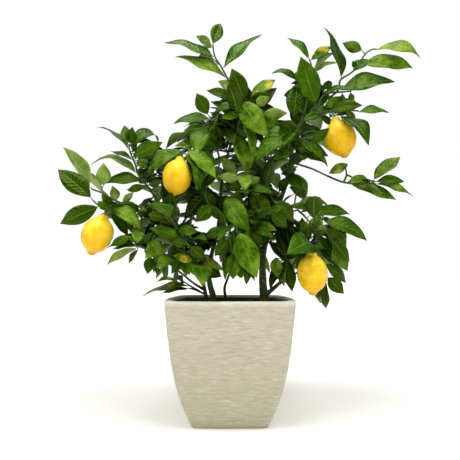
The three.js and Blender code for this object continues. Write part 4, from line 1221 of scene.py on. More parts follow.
    def build(self) -> None:
        """Makes the blades as one piece, and the twigs with the leaf stalks as another."""
        blades = Skin()
        for leaf in self.leaves:
            leaf.draw(blades)
        for leaf in self.inner:
            leaf.draw(blades, along_steps=8)
        sheet = blades.into_piece(f"{self.name}_blades", [self.name],
                                  [LEAF_TOP, LEAF_UNDERSIDE])
        shell = sheet.modifiers.new("thickness", "SOLIDIFY")
        shell.thickness = FORM.thickness * MM
        shell.offset = 0.0
        shell.material_offset = 1
        wood = Skin()
        for route in self.routes:
            wood.draw_tube(smooth_path(route, step=4.0), self.twig_radii, sides=8)
        for leaf in self.leaves + self.inner:
            leaf.draw_stalk(wood)
        wood.into_piece(f"{self.name}_twigs", [self.name], [GREEN_TWIG])


# ---- Woody stems -------------------------------------------------------------

Limb = list[float | Placing]


@dataclass
class Stem:
    """A woody stem with its side branches.

    Attributes:
        name: The frame's node that it stands for.
        rooted: Radius at its foot, radius at its top, then points as pixel across, down and depth.
        limbs: The same for each side branch.
        root_depth: How far it goes on below the soil, in millimetres.
        soil_edge: Height of the soil at the pot's wall, in millimetres.
        swell: What share of the radius is added at the soil.
        swell_height: How far above the soil the swelling ends, in millimetres.
        root_flare: How much wider the stem is at its root.
        fork_flare: How much wider a side branch is where it leaves the stem.
        bark: Heights, as shares of the radius, and sizes of the bark's bumps.
        sides: Number of sides.
    """

    name: str
    rooted: Limb
    limbs: list[Limb]
    root_depth: float = 55.0
    soil_edge: float = 206.0
    swell: float = 0.38
    swell_height: float = 75.0
    root_flare: float = 1.12
    fork_flare: float = 1.3
    bark: tuple[Pair, ...] = ((0.1, 9.0), (0.05, 3.0))
    sides: int = 14

    def routes(self) -> list[list[Vector]]:
        """The points of the stem and of its side branches."""
        return [[SIGHT.place(*row) for row in rows] for _, _, *rows in (self.rooted, *self.limbs)]

    def roughen(self, point: Vector) -> float:
        """What share of the radius the swelling at the soil and the bark add at a point."""
        low = min(1.0, max(0.0, 1 - (point.z - self.soil_edge) / self.swell_height))
        return self.swell * low + bumps(point, self.bark)

    def build(self) -> None:
        """Makes the stem and its branches one piece."""
        skin = Skin()
        limbs = [self.rooted, *self.limbs]
        for i, ((start, end, *_), route) in enumerate(zip(limbs, self.routes())):
            if i == 0:
                foot = route[0].copy()
                foot.z = self.soil_edge - self.root_depth
                route.insert(0, foot)
            flare = self.fork_flare if i else self.root_flare
            radii = [start * flare, start, start + (end - start) * 0.4, start + (end - start) * 0.7, end]
            skin.draw_tube(smooth_path(route, step=4.0), radii, self.sides, self.roughen)
        skin.into_piece(f"{self.name}_bark", [self.name], [OLD_BARK])


# ---- Lemons ------------------------------------------------------------------


@dataclass
class Lemon:
    """A ripe lemon with its calyx and stalk.

    Attributes:
        name: The frame's node that it stands for.
        neck: Pixel across and down of its neck.
        nipple: The same of its nipple.
        depth: Depth of the neck in millimetres.
        lean: How much deeper the nipple lies.
        size: Length and width in millimetres.
        bearer: The shoot that it hangs from.
        outline: Shares along and half widths, as shares of the widest, from neck to nipple.
        sides: Number of sides.
        lumps: Heights, as shares of the radius, and sizes of its lumps.
        ribs: Height of the ribs at its ends, as a share of the radius.
        end: Share of its length that an end takes.
        calyx_radius: In millimetres.
        calyx_rings: Height in millimetres, share of the radius and depth of the lobes of each of
            the calyx's rings, from the fruit up.
        calyx_sides: Number of sides.
        stalk_radius: In millimetres.
    """

    name: str
    neck: Pixel
    nipple: Pixel
    depth: float
    lean: float
    size: Pair
    bearer: Shoot
    outline: tuple[Pair, ...] = (
        (0.0, 0.0), (0.0, 0.2), (0.02, 0.28), (0.06, 0.31), (0.1, 0.37), (0.15, 0.54), (0.22, 0.73),
        (0.32, 0.88), (0.43, 0.95), (0.55, 0.95), (0.67, 0.88), (0.78, 0.74), (0.86, 0.55), (0.905, 0.38),
        (0.94, 0.27), (0.972, 0.22), (0.995, 0.13), (1.0, 0.0),
    )
    sides: int = 64
    lumps: tuple[Pair, ...] = ((0.02, 22.0), (0.008, 7.0))
    ribs: float = 0.05
    end: float = 0.1
    calyx_radius: float = 5.2
    calyx_rings: tuple[Triple, ...] = (
        (0.3, 0.5, 0.0), (0.0, 1.0, 0.3), (0.7, 1.02, 0.3), (1.4, 0.7, 0.15), (2.6, 0.32, 0.0),
    )
    calyx_sides: int = 40
    stalk_radius: float = 1.5

    @property
    def top(self) -> Vector:
        """The neck's place."""
        return SIGHT.place(*self.neck, self.depth)

    @property
    def way(self) -> Vector:
        """The way from neck to nipple."""
        return (SIGHT.place(*self.nipple, self.depth + self.lean) - self.top).normalized()

    def build_fruit(self) -> None:
        """Spins the outline round the lemon's length and lays its lumps."""
        length, width = self.size
        corners = [Vector((radius * width / 2, 0, -along * length)) for along, radius in self.outline]
        profile = smooth_path(corners, step=1.3)
        skin = Skin()
        chain = [skin.mesh.verts.new((max(point.x, 0.0), 0, point.z)) for point in profile]
        edges = [skin.mesh.edges.new(pair) for pair in zip(chain, chain[1:])]
        bmesh.ops.spin(skin.mesh, geom=chain + edges, axis=UP, cent=Vector(), dvec=Vector(),
                       angle=2 * math.pi, steps=self.sides, use_merge=True)
        bmesh.ops.remove_doubles(skin.mesh, verts=skin.mesh.verts[:], dist=0.02)
        bmesh.ops.recalc_face_normals(skin.mesh, faces=skin.mesh.faces[:])
        turn = UP.rotation_difference(-self.way).to_matrix().to_4x4()
        own = Vector((self.depth, self.lean, 0))
        for vert in skin.mesh.verts:
            share = -vert.co.z / length
            ends = max(0.0, 1 - share / self.end) + max(0.0, (share - (1 - self.end)) / self.end)
            flat = Vector((vert.co.x, vert.co.y, 0))
            ribs = self.ribs * ends * noise.noise(flat.normalized() * 1.6 + own)
            vert.co += flat * (bumps(vert.co, self.lumps, own) + ribs)
            skin.paint([vert], share, min(1.0, ends))
        bmesh.ops.transform(skin.mesh, verts=skin.mesh.verts[:],
                            matrix=Matrix.Scale(MM, 4) @ Matrix.Translation(self.top) @ turn)
        skin.into_piece(f"{self.name}_fruit", [self.name], [PEEL])

    def build_calyx(self) -> None:
        """Makes the five-lobed green calyx on the neck, and the stalk up to the twig."""
        back = -self.way
        turn = UP.rotation_difference(back)
        skin = Skin()
        rings = []
        for rise, radius, lobes in self.calyx_rings:
            ring = []
            for k in range(self.calyx_sides):
                angle = 2 * math.pi * k / self.calyx_sides
                reach = self.calyx_radius * radius * (1 - lobes * (0.5 - 0.5 * math.cos(5 * angle)))
                flat = Vector((reach * math.cos(angle), reach * math.sin(angle), 0.4 + rise))
                flat.rotate(turn)
                ring.append((self.top + flat) * MM)
            rings.append(ring)
        skin.draw_rings(rings)
        start = self.top + back * 1.5
        end = self.bearer.nearest_root(lambda place: (place - self.top).length)
        middle = start.lerp(end, 0.5) + back * (0.12 * (end - start).length)
        radii = [self.stalk_radius * 1.25, self.stalk_radius, self.stalk_radius]
        skin.draw_tube(smooth_path([start, middle, end], step=2.0), radii, sides=10)
        skin.into_piece(f"{self.name}_calyx", [self.bearer.name], [GREEN_TWIG])

    def build(self) -> None:
        """Makes the fruit and its calyx."""
        self.build_fruit()
        self.build_calyx()


# ---- The crown as a whole ----------------------------------------------------


def in_sky_gap(pixel: Vector) -> bool:
    """Whether a pixel is in one of the gaps where sky is seen."""
    return any(left < pixel.x < right and top < pixel.y < bottom for left, top, right, bottom in SKY_GAPS)


@dataclass
class Crown:
    """The stems' crown, with the darker leaves inside that fill it between those of the tables, darkened
    as painted shade.

    Attributes:
        stems: The woody stems that carry it.
        shoots: All its shoots.
        lemons: All its lemons.
        lowest: Height above the floor from which inner leaves grow, in millimetres.
        root_step: Millimetres between the places on a twig where an inner leaf may grow.
        tries: How many ways are tried for a leaf at each place.
        lengths: The shortest and longest inner leaf.
        apart: Least distance between the middles of inner leaves, in millimetres.
        clear: How far an inner leaf keeps from the leaves of the tables, in millimetres.
        seed: Of the random numbers.
        shares: Where along an inner leaf it is tested.
        tones: The tones that it may have, mostly blackish and dark, as painted shade inside the crown.
    """

    stems: list[Stem]
    shoots: list[Shoot]
    lemons: list[Lemon]
    lowest: float = 300.0
    root_step: float = 4.0
    tries: int = 36
    lengths: Pair = (30.0, 66.0)
    apart: float = 7.5
    clear: float = 0.9
    seed: int = 5
    shares: tuple[float, ...] = (0.15, 0.35, 0.55, 0.75, 1.0)
    tones: tuple[Tone, ...] = (Tone.BLACKISH, Tone.BLACKISH, Tone.DARK, Tone.DARK, Tone.MIDDLE)

    @staticmethod
    def shows_sky(pixel: Vector) -> bool:
        """Whether sky is seen at a pixel: in a gap, or outside the leafy mass.

        Args:
            pixel: Across and down.

        Returns:
            Whether it is sky.
        """
        if in_sky_gap(pixel):
            return True
        inside = False
        for start, end in zip(LEAFY_MASS, LEAFY_MASS[1:] + LEAFY_MASS[:1]):
            if (start[1] > pixel.y) != (end[1] > pixel.y):
                share = (pixel.y - start[1]) / (end[1] - start[1])
                inside ^= pixel.x < start[0] + (end[0] - start[0]) * share
        return not inside

    def covers(self) -> BVHTree:
        """What an inner leaf may not hide: the leaves of the tables and the lemons.

        Returns:
            Their faces, in metres.
        """
        probe = Skin()
        for shoot in self.shoots:
            for leaf in shoot.leaves:
                leaf.draw(probe, along_steps=6, across_steps=2)
        for lemon in self.lemons:
            middle = Matrix.Translation((lemon.top + lemon.way * (lemon.size[0] * 0.5)) * MM)
            bmesh.ops.create_icosphere(probe.mesh, subdivisions=2, radius=lemon.size[1] / 2 * MM,
                                       matrix=middle)
        tree = BVHTree.FromBMesh(probe.mesh)
        probe.mesh.free()
        return tree

    def fits(self, leaf: Leaf, covers: BVHTree) -> bool:
        """Whether a leaf hides nothing, shows against no sky and touches nothing.

        Args:
            leaf: The inner leaf.
            covers: What it may not hide or touch.

        Returns:
            Whether it may grow.
        """
        if self.shows_sky(SIGHT.seen(leaf.root.lerp(leaf.base, 0.6))):
            return False
        for share in self.shares:
            for across in (-0.9, 0.0, 0.9):
                place = leaf.fine_point(share, across)
                if self.shows_sky(SIGHT.seen(place)):
                    return False
                ray = place - SIGHT.eye
                behind = covers.ray_cast(SIGHT.eye * MM, ray.normalized())[3]
                if behind is not None and behind > ray.length * MM:
                    return False
                if covers.find_nearest(place * MM)[3] < self.clear * MM:
                    return False
        return True

    def grown(self, draw: random.Random, root: Vector, way: Vector, order: int) -> Leaf:
        """An inner leaf as it might grow at a place.

        Args:
            draw: The source of the random numbers.
            root: Its place on the twig.
            way: The way of the twig.
            order: Its number.

        Returns:
            The leaf.
        """
        first = way.cross(UP + Vector((0.1, 0, 0))).normalized()
        away = Quaternion(way, draw.uniform(0, 2 * math.pi)) @ first
        along = (away + way * draw.uniform(-0.3, 0.7) + UP * draw.uniform(-0.7, 0.35)).normalized()
        base = root + (along + away).normalized() * FORM.spur
        length = draw.uniform(*self.lengths)
        outward = Vector((root.x, root.y, 0)).normalized()
        normal = UP * draw.uniform(0.4, 1.2) + outward * draw.uniform(0.2, 1.0) + along.cross(UP) * 0.1
        # Painted shade: inner leaves take mostly blackish and dark tones.
        tone = draw.choice(self.tones)
        return Leaf(root, base, base + along * length, normal, length * FORM.grown_width_ratio,
                    draw.uniform(0.05, 0.25), order, tone)

    def nearest_shoot(self, place: Vector) -> Shoot:
        """The shoot that an inner leaf growing at a place counts to."""
        return min(self.shoots, key=lambda shoot: min((point - place).length
                                                      for route in shoot.routes for point in route))

    def fill(self) -> None:
        """Grows the inner leaves on every stem and twig."""
        draw = random.Random(self.seed)
        covers = self.covers()
        taken: list[Vector] = []
        routes = [route for stem in self.stems for route in stem.routes()]
        routes += [route for shoot in self.shoots for route in shoot.routes]
        for route in routes:
            path = smooth_path(route, self.root_step)
            for before, root in zip(path, path[1:]):
                if root.z < self.lowest:
                    continue
                for _ in range(self.tries):
                    leaf = self.grown(draw, root, (root - before).normalized(), len(taken))
                    middle = leaf.fine_point(0.5, 0)
                    crowded = any((middle - other).length < self.apart for other in taken)
                    if not crowded and self.fits(leaf, covers):
                        self.nearest_shoot(root).inner.append(leaf)
                        taken.append(middle)
                        break
        log.info("inner leaves: %d", len(taken))

    def build(self) -> None:
        """Fills the crown and makes every shoot and lemon."""
        self.fill()
        for piece in self.shoots + self.lemons:
            piece.build()


# ---- Pot and soil ------------------------------------------------------------


@dataclass
class Pot:
    """The square, tapering pot. Its sizes are the frame's, in millimetres.

    Attributes:
        height: Of the rim above the floor.
        rim_half: Half width across the flats at the rim, at the ends of each side.
        taper: How much the half width shrinks evenly down to the foot.
        tuck: How much more it shrinks in the curve above the foot.
        tuck_power: How sharp that curve is.
        rim_bow: How far the middle of a side stands out at the rim.
        foot_bow: The same at the foot.
        rim_corner: Length that a rounded corner takes from each side at the rim.
        foot_corner: The same at the foot.
        wall: Thickness of the wall.
        floor: Thickness of the floor.
        rim_round: Radius of the lip's rounding.
        foot_round: Radius of the foot's rounding.
        relief: Depth of the streaked relief.
        side_steps: Points along a side.
        corner_steps: Points round a corner.
        row_height: Between the rings of the outer face.
        lip_insets: How far in the rings of the lip's level top are.
        inner_heights: Of the rings of the inner wall.
        bends: Heights and sizes of the waves in the streaks.
        shade_and_moss_top: How high the inner wall is darkened, as painted shade inside the pot and as
            soil and moss on it.
    """

    height: float = 215.0
    rim_half: float = 111.5
    taper: float = 22.0
    tuck: float = 24.5
    tuck_power: float = 3.5
    rim_bow: float = 7.5
    foot_bow: float = 1.0
    rim_corner: float = 15.0
    foot_corner: float = 10.0
    wall: float = 14.5
    floor: float = 16.0
    rim_round: float = 3.0
    foot_round: float = 2.5
    relief: float = 0.75
    side_steps: int = 64
    corner_steps: int = 14
    row_height: float = 1.15
    lip_insets: tuple[float, ...] = (5.0, 7.5, 10.0)
    inner_heights: tuple[float, ...] = (208.0, 204.0, 198.0, 190.0, 150.0, 60.0)
    bends: tuple[Pair, ...] = ((1.6, 24.0), (0.5, 9.0))
    shade_and_moss_top: float = 211.5

    def outline(self, height: float, inset: float, side_steps: int, corner_steps: int) -> Ring:
        """The pot's outline at a height: four bowed sides and four rounded corners.

        Args:
            height: In millimetres.
            inset: How far it is moved in.
            side_steps: Points along a side.
            corner_steps: Points round a corner.

        Returns:
            The points in millimetres, counter-clockwise.
        """
        rise = min(1.0, height / self.height)
        drop = 1 - rise
        half = self.rim_half - self.taper * drop - self.tuck * drop ** self.tuck_power - inset
        bow = self.foot_bow + (self.rim_bow - self.foot_bow) * rise
        corner = self.foot_corner + (self.rim_corner - self.foot_corner) * rise
        end = half - max(corner - inset / 2, corner / 2)
        peak = (half + 2 * bow) / (1 + 2 * bow / end)
        arcs = (((half, -end), (half + 2 * bow, 0), (half, end), side_steps),
                ((half, end), (peak, peak), (end, half), corner_steps))
        ring = []
        for quarter in range(4):
            turn = Matrix.Rotation(quarter * math.pi / 2, 3, "Z")
            for start, pull, finish, steps in arcs:
                for k in range(steps):
                    t = k / steps
                    x, y = (a * (1 - t) ** 2 + 2 * b * t * (1 - t) + c * t ** 2
                            for a, b, c in zip(start, pull, finish))
                    ring.append(turn @ Vector((x, y, height)))
        return ring

    def streaks(self, point: Vector) -> float:
        """Relief of the cast face: level, torn streaks.

        Args:
            point: A point of the face, in millimetres.

        Returns:
            The relief there, from about -1 to 1.
        """
        bend = bumps(point, self.bends)

        def streak(width: float, height: float, shift: float = 0.0) -> float:
            """Noise drawn out level, in streaks of a width and a height."""
            level = point.z / height + bend + shift
            return noise.noise(Vector((point.x / width, point.y / width, level)))

        ledge = max(0.0, 1 - 5 * abs(streak(24, 4, 7)))
        return 0.5 * streak(17, 2.7) + 0.35 * streak(7, 1.7) + 0.5 * ledge - 0.15

    def lip(self, degrees: float) -> Pair:
        """How far below the rim and how far in the lip's rounding is, at an angle above level."""
        lean = math.radians(degrees)
        return self.rim_round * (1 - math.sin(lean)), self.rim_round * (1 - math.cos(lean))

    def levels(self) -> list[Pair]:
        """The rings of the pot's skin: up the outside, over the lip and down the inside.

        Returns:
            Their heights and insets.
        """
        levels = [(0, self.foot_round), (0.8, 0.7), (self.foot_round, 0)]
        while levels[-1][0] + self.row_height < self.height - self.rim_round:
            levels.append((levels[-1][0] + self.row_height, 0))
        levels += [(self.height - down, inset) for down, inset in map(self.lip, range(0, 91, 18))]
        levels += [(self.height, inset) for inset in self.lip_insets]
        levels += [(self.height - down, self.wall - inset)
                   for down, inset in map(self.lip, (90, 60, 30, 0))]
        levels += [(height, self.wall) for height in (*self.inner_heights, self.floor)]
        return levels

    def build(self) -> None:
        """Draws the outer face, the lip and the inner wall, and carves the streaks."""
        rings = [self.outline(height, inset, self.side_steps, self.corner_steps)
                 for height, inset in self.levels()]
        skin = Skin()
        verts = skin.draw_rings([[point * MM for point in ring] for ring in rings])
        skin.mesh.normal_update()
        for vert in verts:
            place = vert.co / MM
            # The relief's depth is painted into the colour as well: painted shade in the grooves, painted
            # highlight on the ridges.
            depth = self.streaks(place)
            fade = min(1.0, max(0.15, place.z / 8)) * (1 - 0.75 * max(0.0, vert.normal.z))
            if max(abs(place.x), abs(place.y)) > self.rim_half - 60 and vert.normal.z > -0.5:
                vert.co += vert.normal * (depth * self.relief * fade * MM)
            # Painted shade: the inner wall below the rim is marked to be darkened, for the shade inside
            # the pot as well as moss.
            inward = vert.normal.dot(Vector((place.x, place.y, 0))) < 0
            shade_and_moss = min(1.0, max(0.0, (self.shade_and_moss_top - place.z) / 2)) if inward else 0.0
            skin.paint([vert], 0.5 + 0.5 * depth, shade_and_moss)
        skin.into_piece("pot_cast_stone", ["pot"], [STONE])


@dataclass
class Soil:
    """The soil's rough surface with its crumbs.

    Attributes:
        pot: The pot that it fills.
        edge: Height of its surface at the pot's wall, in millimetres.
        mound: Rise from the wall to the middle.
        clods: Heights, sizes and shifts of the surface's waves.
        crumbs: Number of loose crumbs.
        crumb_sizes: The smallest and largest radius of a crumb.
        gap: Between the soil and the wall.
        depth: From its edge to its underside.
        rows: Rings of its surface, from the wall to the middle.
        side_steps: Points along a side.
        corner_steps: Points round a corner.
        seed: Of the random numbers.
    """

    pot: Pot
    edge: float = 206.0
    mound: float = 6.0
    clods: tuple[Triple, ...] = ((2.2, 14.0, 3.0), (1.2, 5.0, 9.0))
    crumbs: int = 420
    crumb_sizes: Pair = (0.9, 2.6)
    gap: float = 0.5
    depth: float = 30.0
    rows: int = 27
    side_steps: int = 24
    corner_steps: int = 5
    seed: int = 11

    def height(self, x: float, y: float, share: float) -> float:
        """Height of the surface at a place.

        Args:
            x: In millimetres.
            y: In millimetres.
            share: 1 at the pot's wall and 0 in the middle.

        Returns:
            The height in millimetres.
        """
        rough = sum(rise * noise.noise(Vector((x / size, y / size, shift)))
                    for rise, size, shift in self.clods)
        return self.edge + self.mound * (1 - share ** 2) + rough * (1 - 0.5 * share) - 1.0

    def build(self) -> None:
        """Draws the surface inwards from the wall, closes it below and adds the crumbs."""
        inset = self.pot.wall + self.gap
        border = self.pot.outline(self.edge, inset, self.side_steps, self.corner_steps)
        skin = Skin()
        rings = [[Vector((point.x, point.y, self.edge - self.depth)) * MM for point in border]]
        for k in range(self.rows):
            share = 1 - k / self.rows
            places = [(point.x * share, point.y * share) for point in border]
            rings.append([Vector((x, y, self.height(x, y, share))) * MM for x, y in places])
        skin.draw_rings(rings)
        self.scatter(skin, border)
        skin.into_piece("soil_surface", ["soil"], [SOIL])

    def scatter(self, skin: Skin, border: Ring) -> None:
        """Scatters the crumbs.

        Args:
            skin: The mesh that they become part of.
            border: The surface's outline.
        """
        draw = random.Random(self.seed)
        for _ in range(self.crumbs):
            share = math.sqrt(draw.random())
            point = draw.choice(border) * (share * 0.97)
            size = draw.uniform(*self.crumb_sizes)
            place = Vector((point.x, point.y, self.height(point.x, point.y, share) + size * 0.2))
            shape = Matrix.Diagonal((size, size * draw.uniform(0.6, 1), size * draw.uniform(0.5, 0.9), 1))
            turn = Quaternion((draw.random(), draw.random(), draw.random(), draw.random())).normalized()
            lump = bmesh.ops.create_icosphere(skin.mesh, subdivisions=1, radius=1.0,
                                              matrix=Matrix.Scale(MM, 4) @ Matrix.Translation(place)
                                              @ turn.to_matrix().to_4x4() @ shape)
            skin.paint(lump["verts"], draw.random(), 0.0)


# ---- The tables --------------------------------------------------------------

# Wood: a stem's rooted limb and its side branches, each as its two radii and then its points.
WOOD: dict[str, tuple[Limb, list[Limb]]] = {
    "stem_left": ([
        2.9, 1.9, (206.5, 299, -12), (204.2, 284, -14), (203.5, 271, -18), (198, 255, -26),
        (188, 238, -38), (176, 222, -48), (164, 207, -55), (154, 195, -58), (149, 188, -59),
    ], [
        [1.9, 1.6, (188, 238, -38), (170, 231, -50), (152, 221, -62), (137, 211, -71), (125, 205, -76)],
        [1.8, 1.5, (203.6, 289, -15), (194, 283, -28), (184, 275, -42), (172, 265, -58)],
        [1.7, 1.5, (198, 255, -26), (192, 246, -50), (184, 237, -72), (178, 230, -84)],
    ]),
    "stem_tall": ([
        4.3, 2.1, (214, 300, -26), (211, 287, -26), (209.5, 276, -24), (212, 255, -16), (217, 236, -8),
        (220, 216, 0), (221, 198, 6), (222, 184, 8), (225, 168, 4), (229, 152, 0), (235, 132, -8),
        (238, 117, -14), (239, 106, -18),
    ], [
        [1.9, 1.6, (229, 152, 0), (218, 150, -26), (207, 149, -52)],
        [1.8, 1.6, (217, 236, -8), (224, 231, -40), (230, 226, -72)],
        [1.6, 1.4, (221, 198, 6), (213, 192, -20), (208, 188, -36)],
    ]),
    "stem_thin": ([
        2.3, 1.6, (226, 300, 14), (225, 288.4, 14), (228, 278.7, 12), (234, 264, 8), (240, 246, 2),
        (246, 228, -6), (249, 210, -14), (249, 196, -24),
    ], []),
    "stem_main": ([
        6.2, 2.6, (264.9, 300, -6), (263.6, 287, -6), (263, 270, -5), (264, 252, -2), (268, 236, 2),
        (275, 218, 6), (281, 200, 8), (287, 182, 6), (291, 162, 2), (292, 146, -4), (299, 127, -14),
        (312, 112, -24), (325, 101, -32),
    ], [
        [3.0, 1.9, (264.4, 296, -6), (272, 290, 0), (282, 281, 6), (291, 269, 4), (299, 257, -10),
         (306, 246, -26), (311, 236, -40)],
        [1.9, 1.5, (275, 218, 6), (287, 213, -6), (298, 210, -20)],
        [2.1, 1.6, (291, 162, 2), (301, 165, -4), (313, 169, -12), (328, 176, -20)],
        [1.8, 1.4, (268, 236, 2), (266, 228, -34), (262, 220, -60)],
    ]),
}

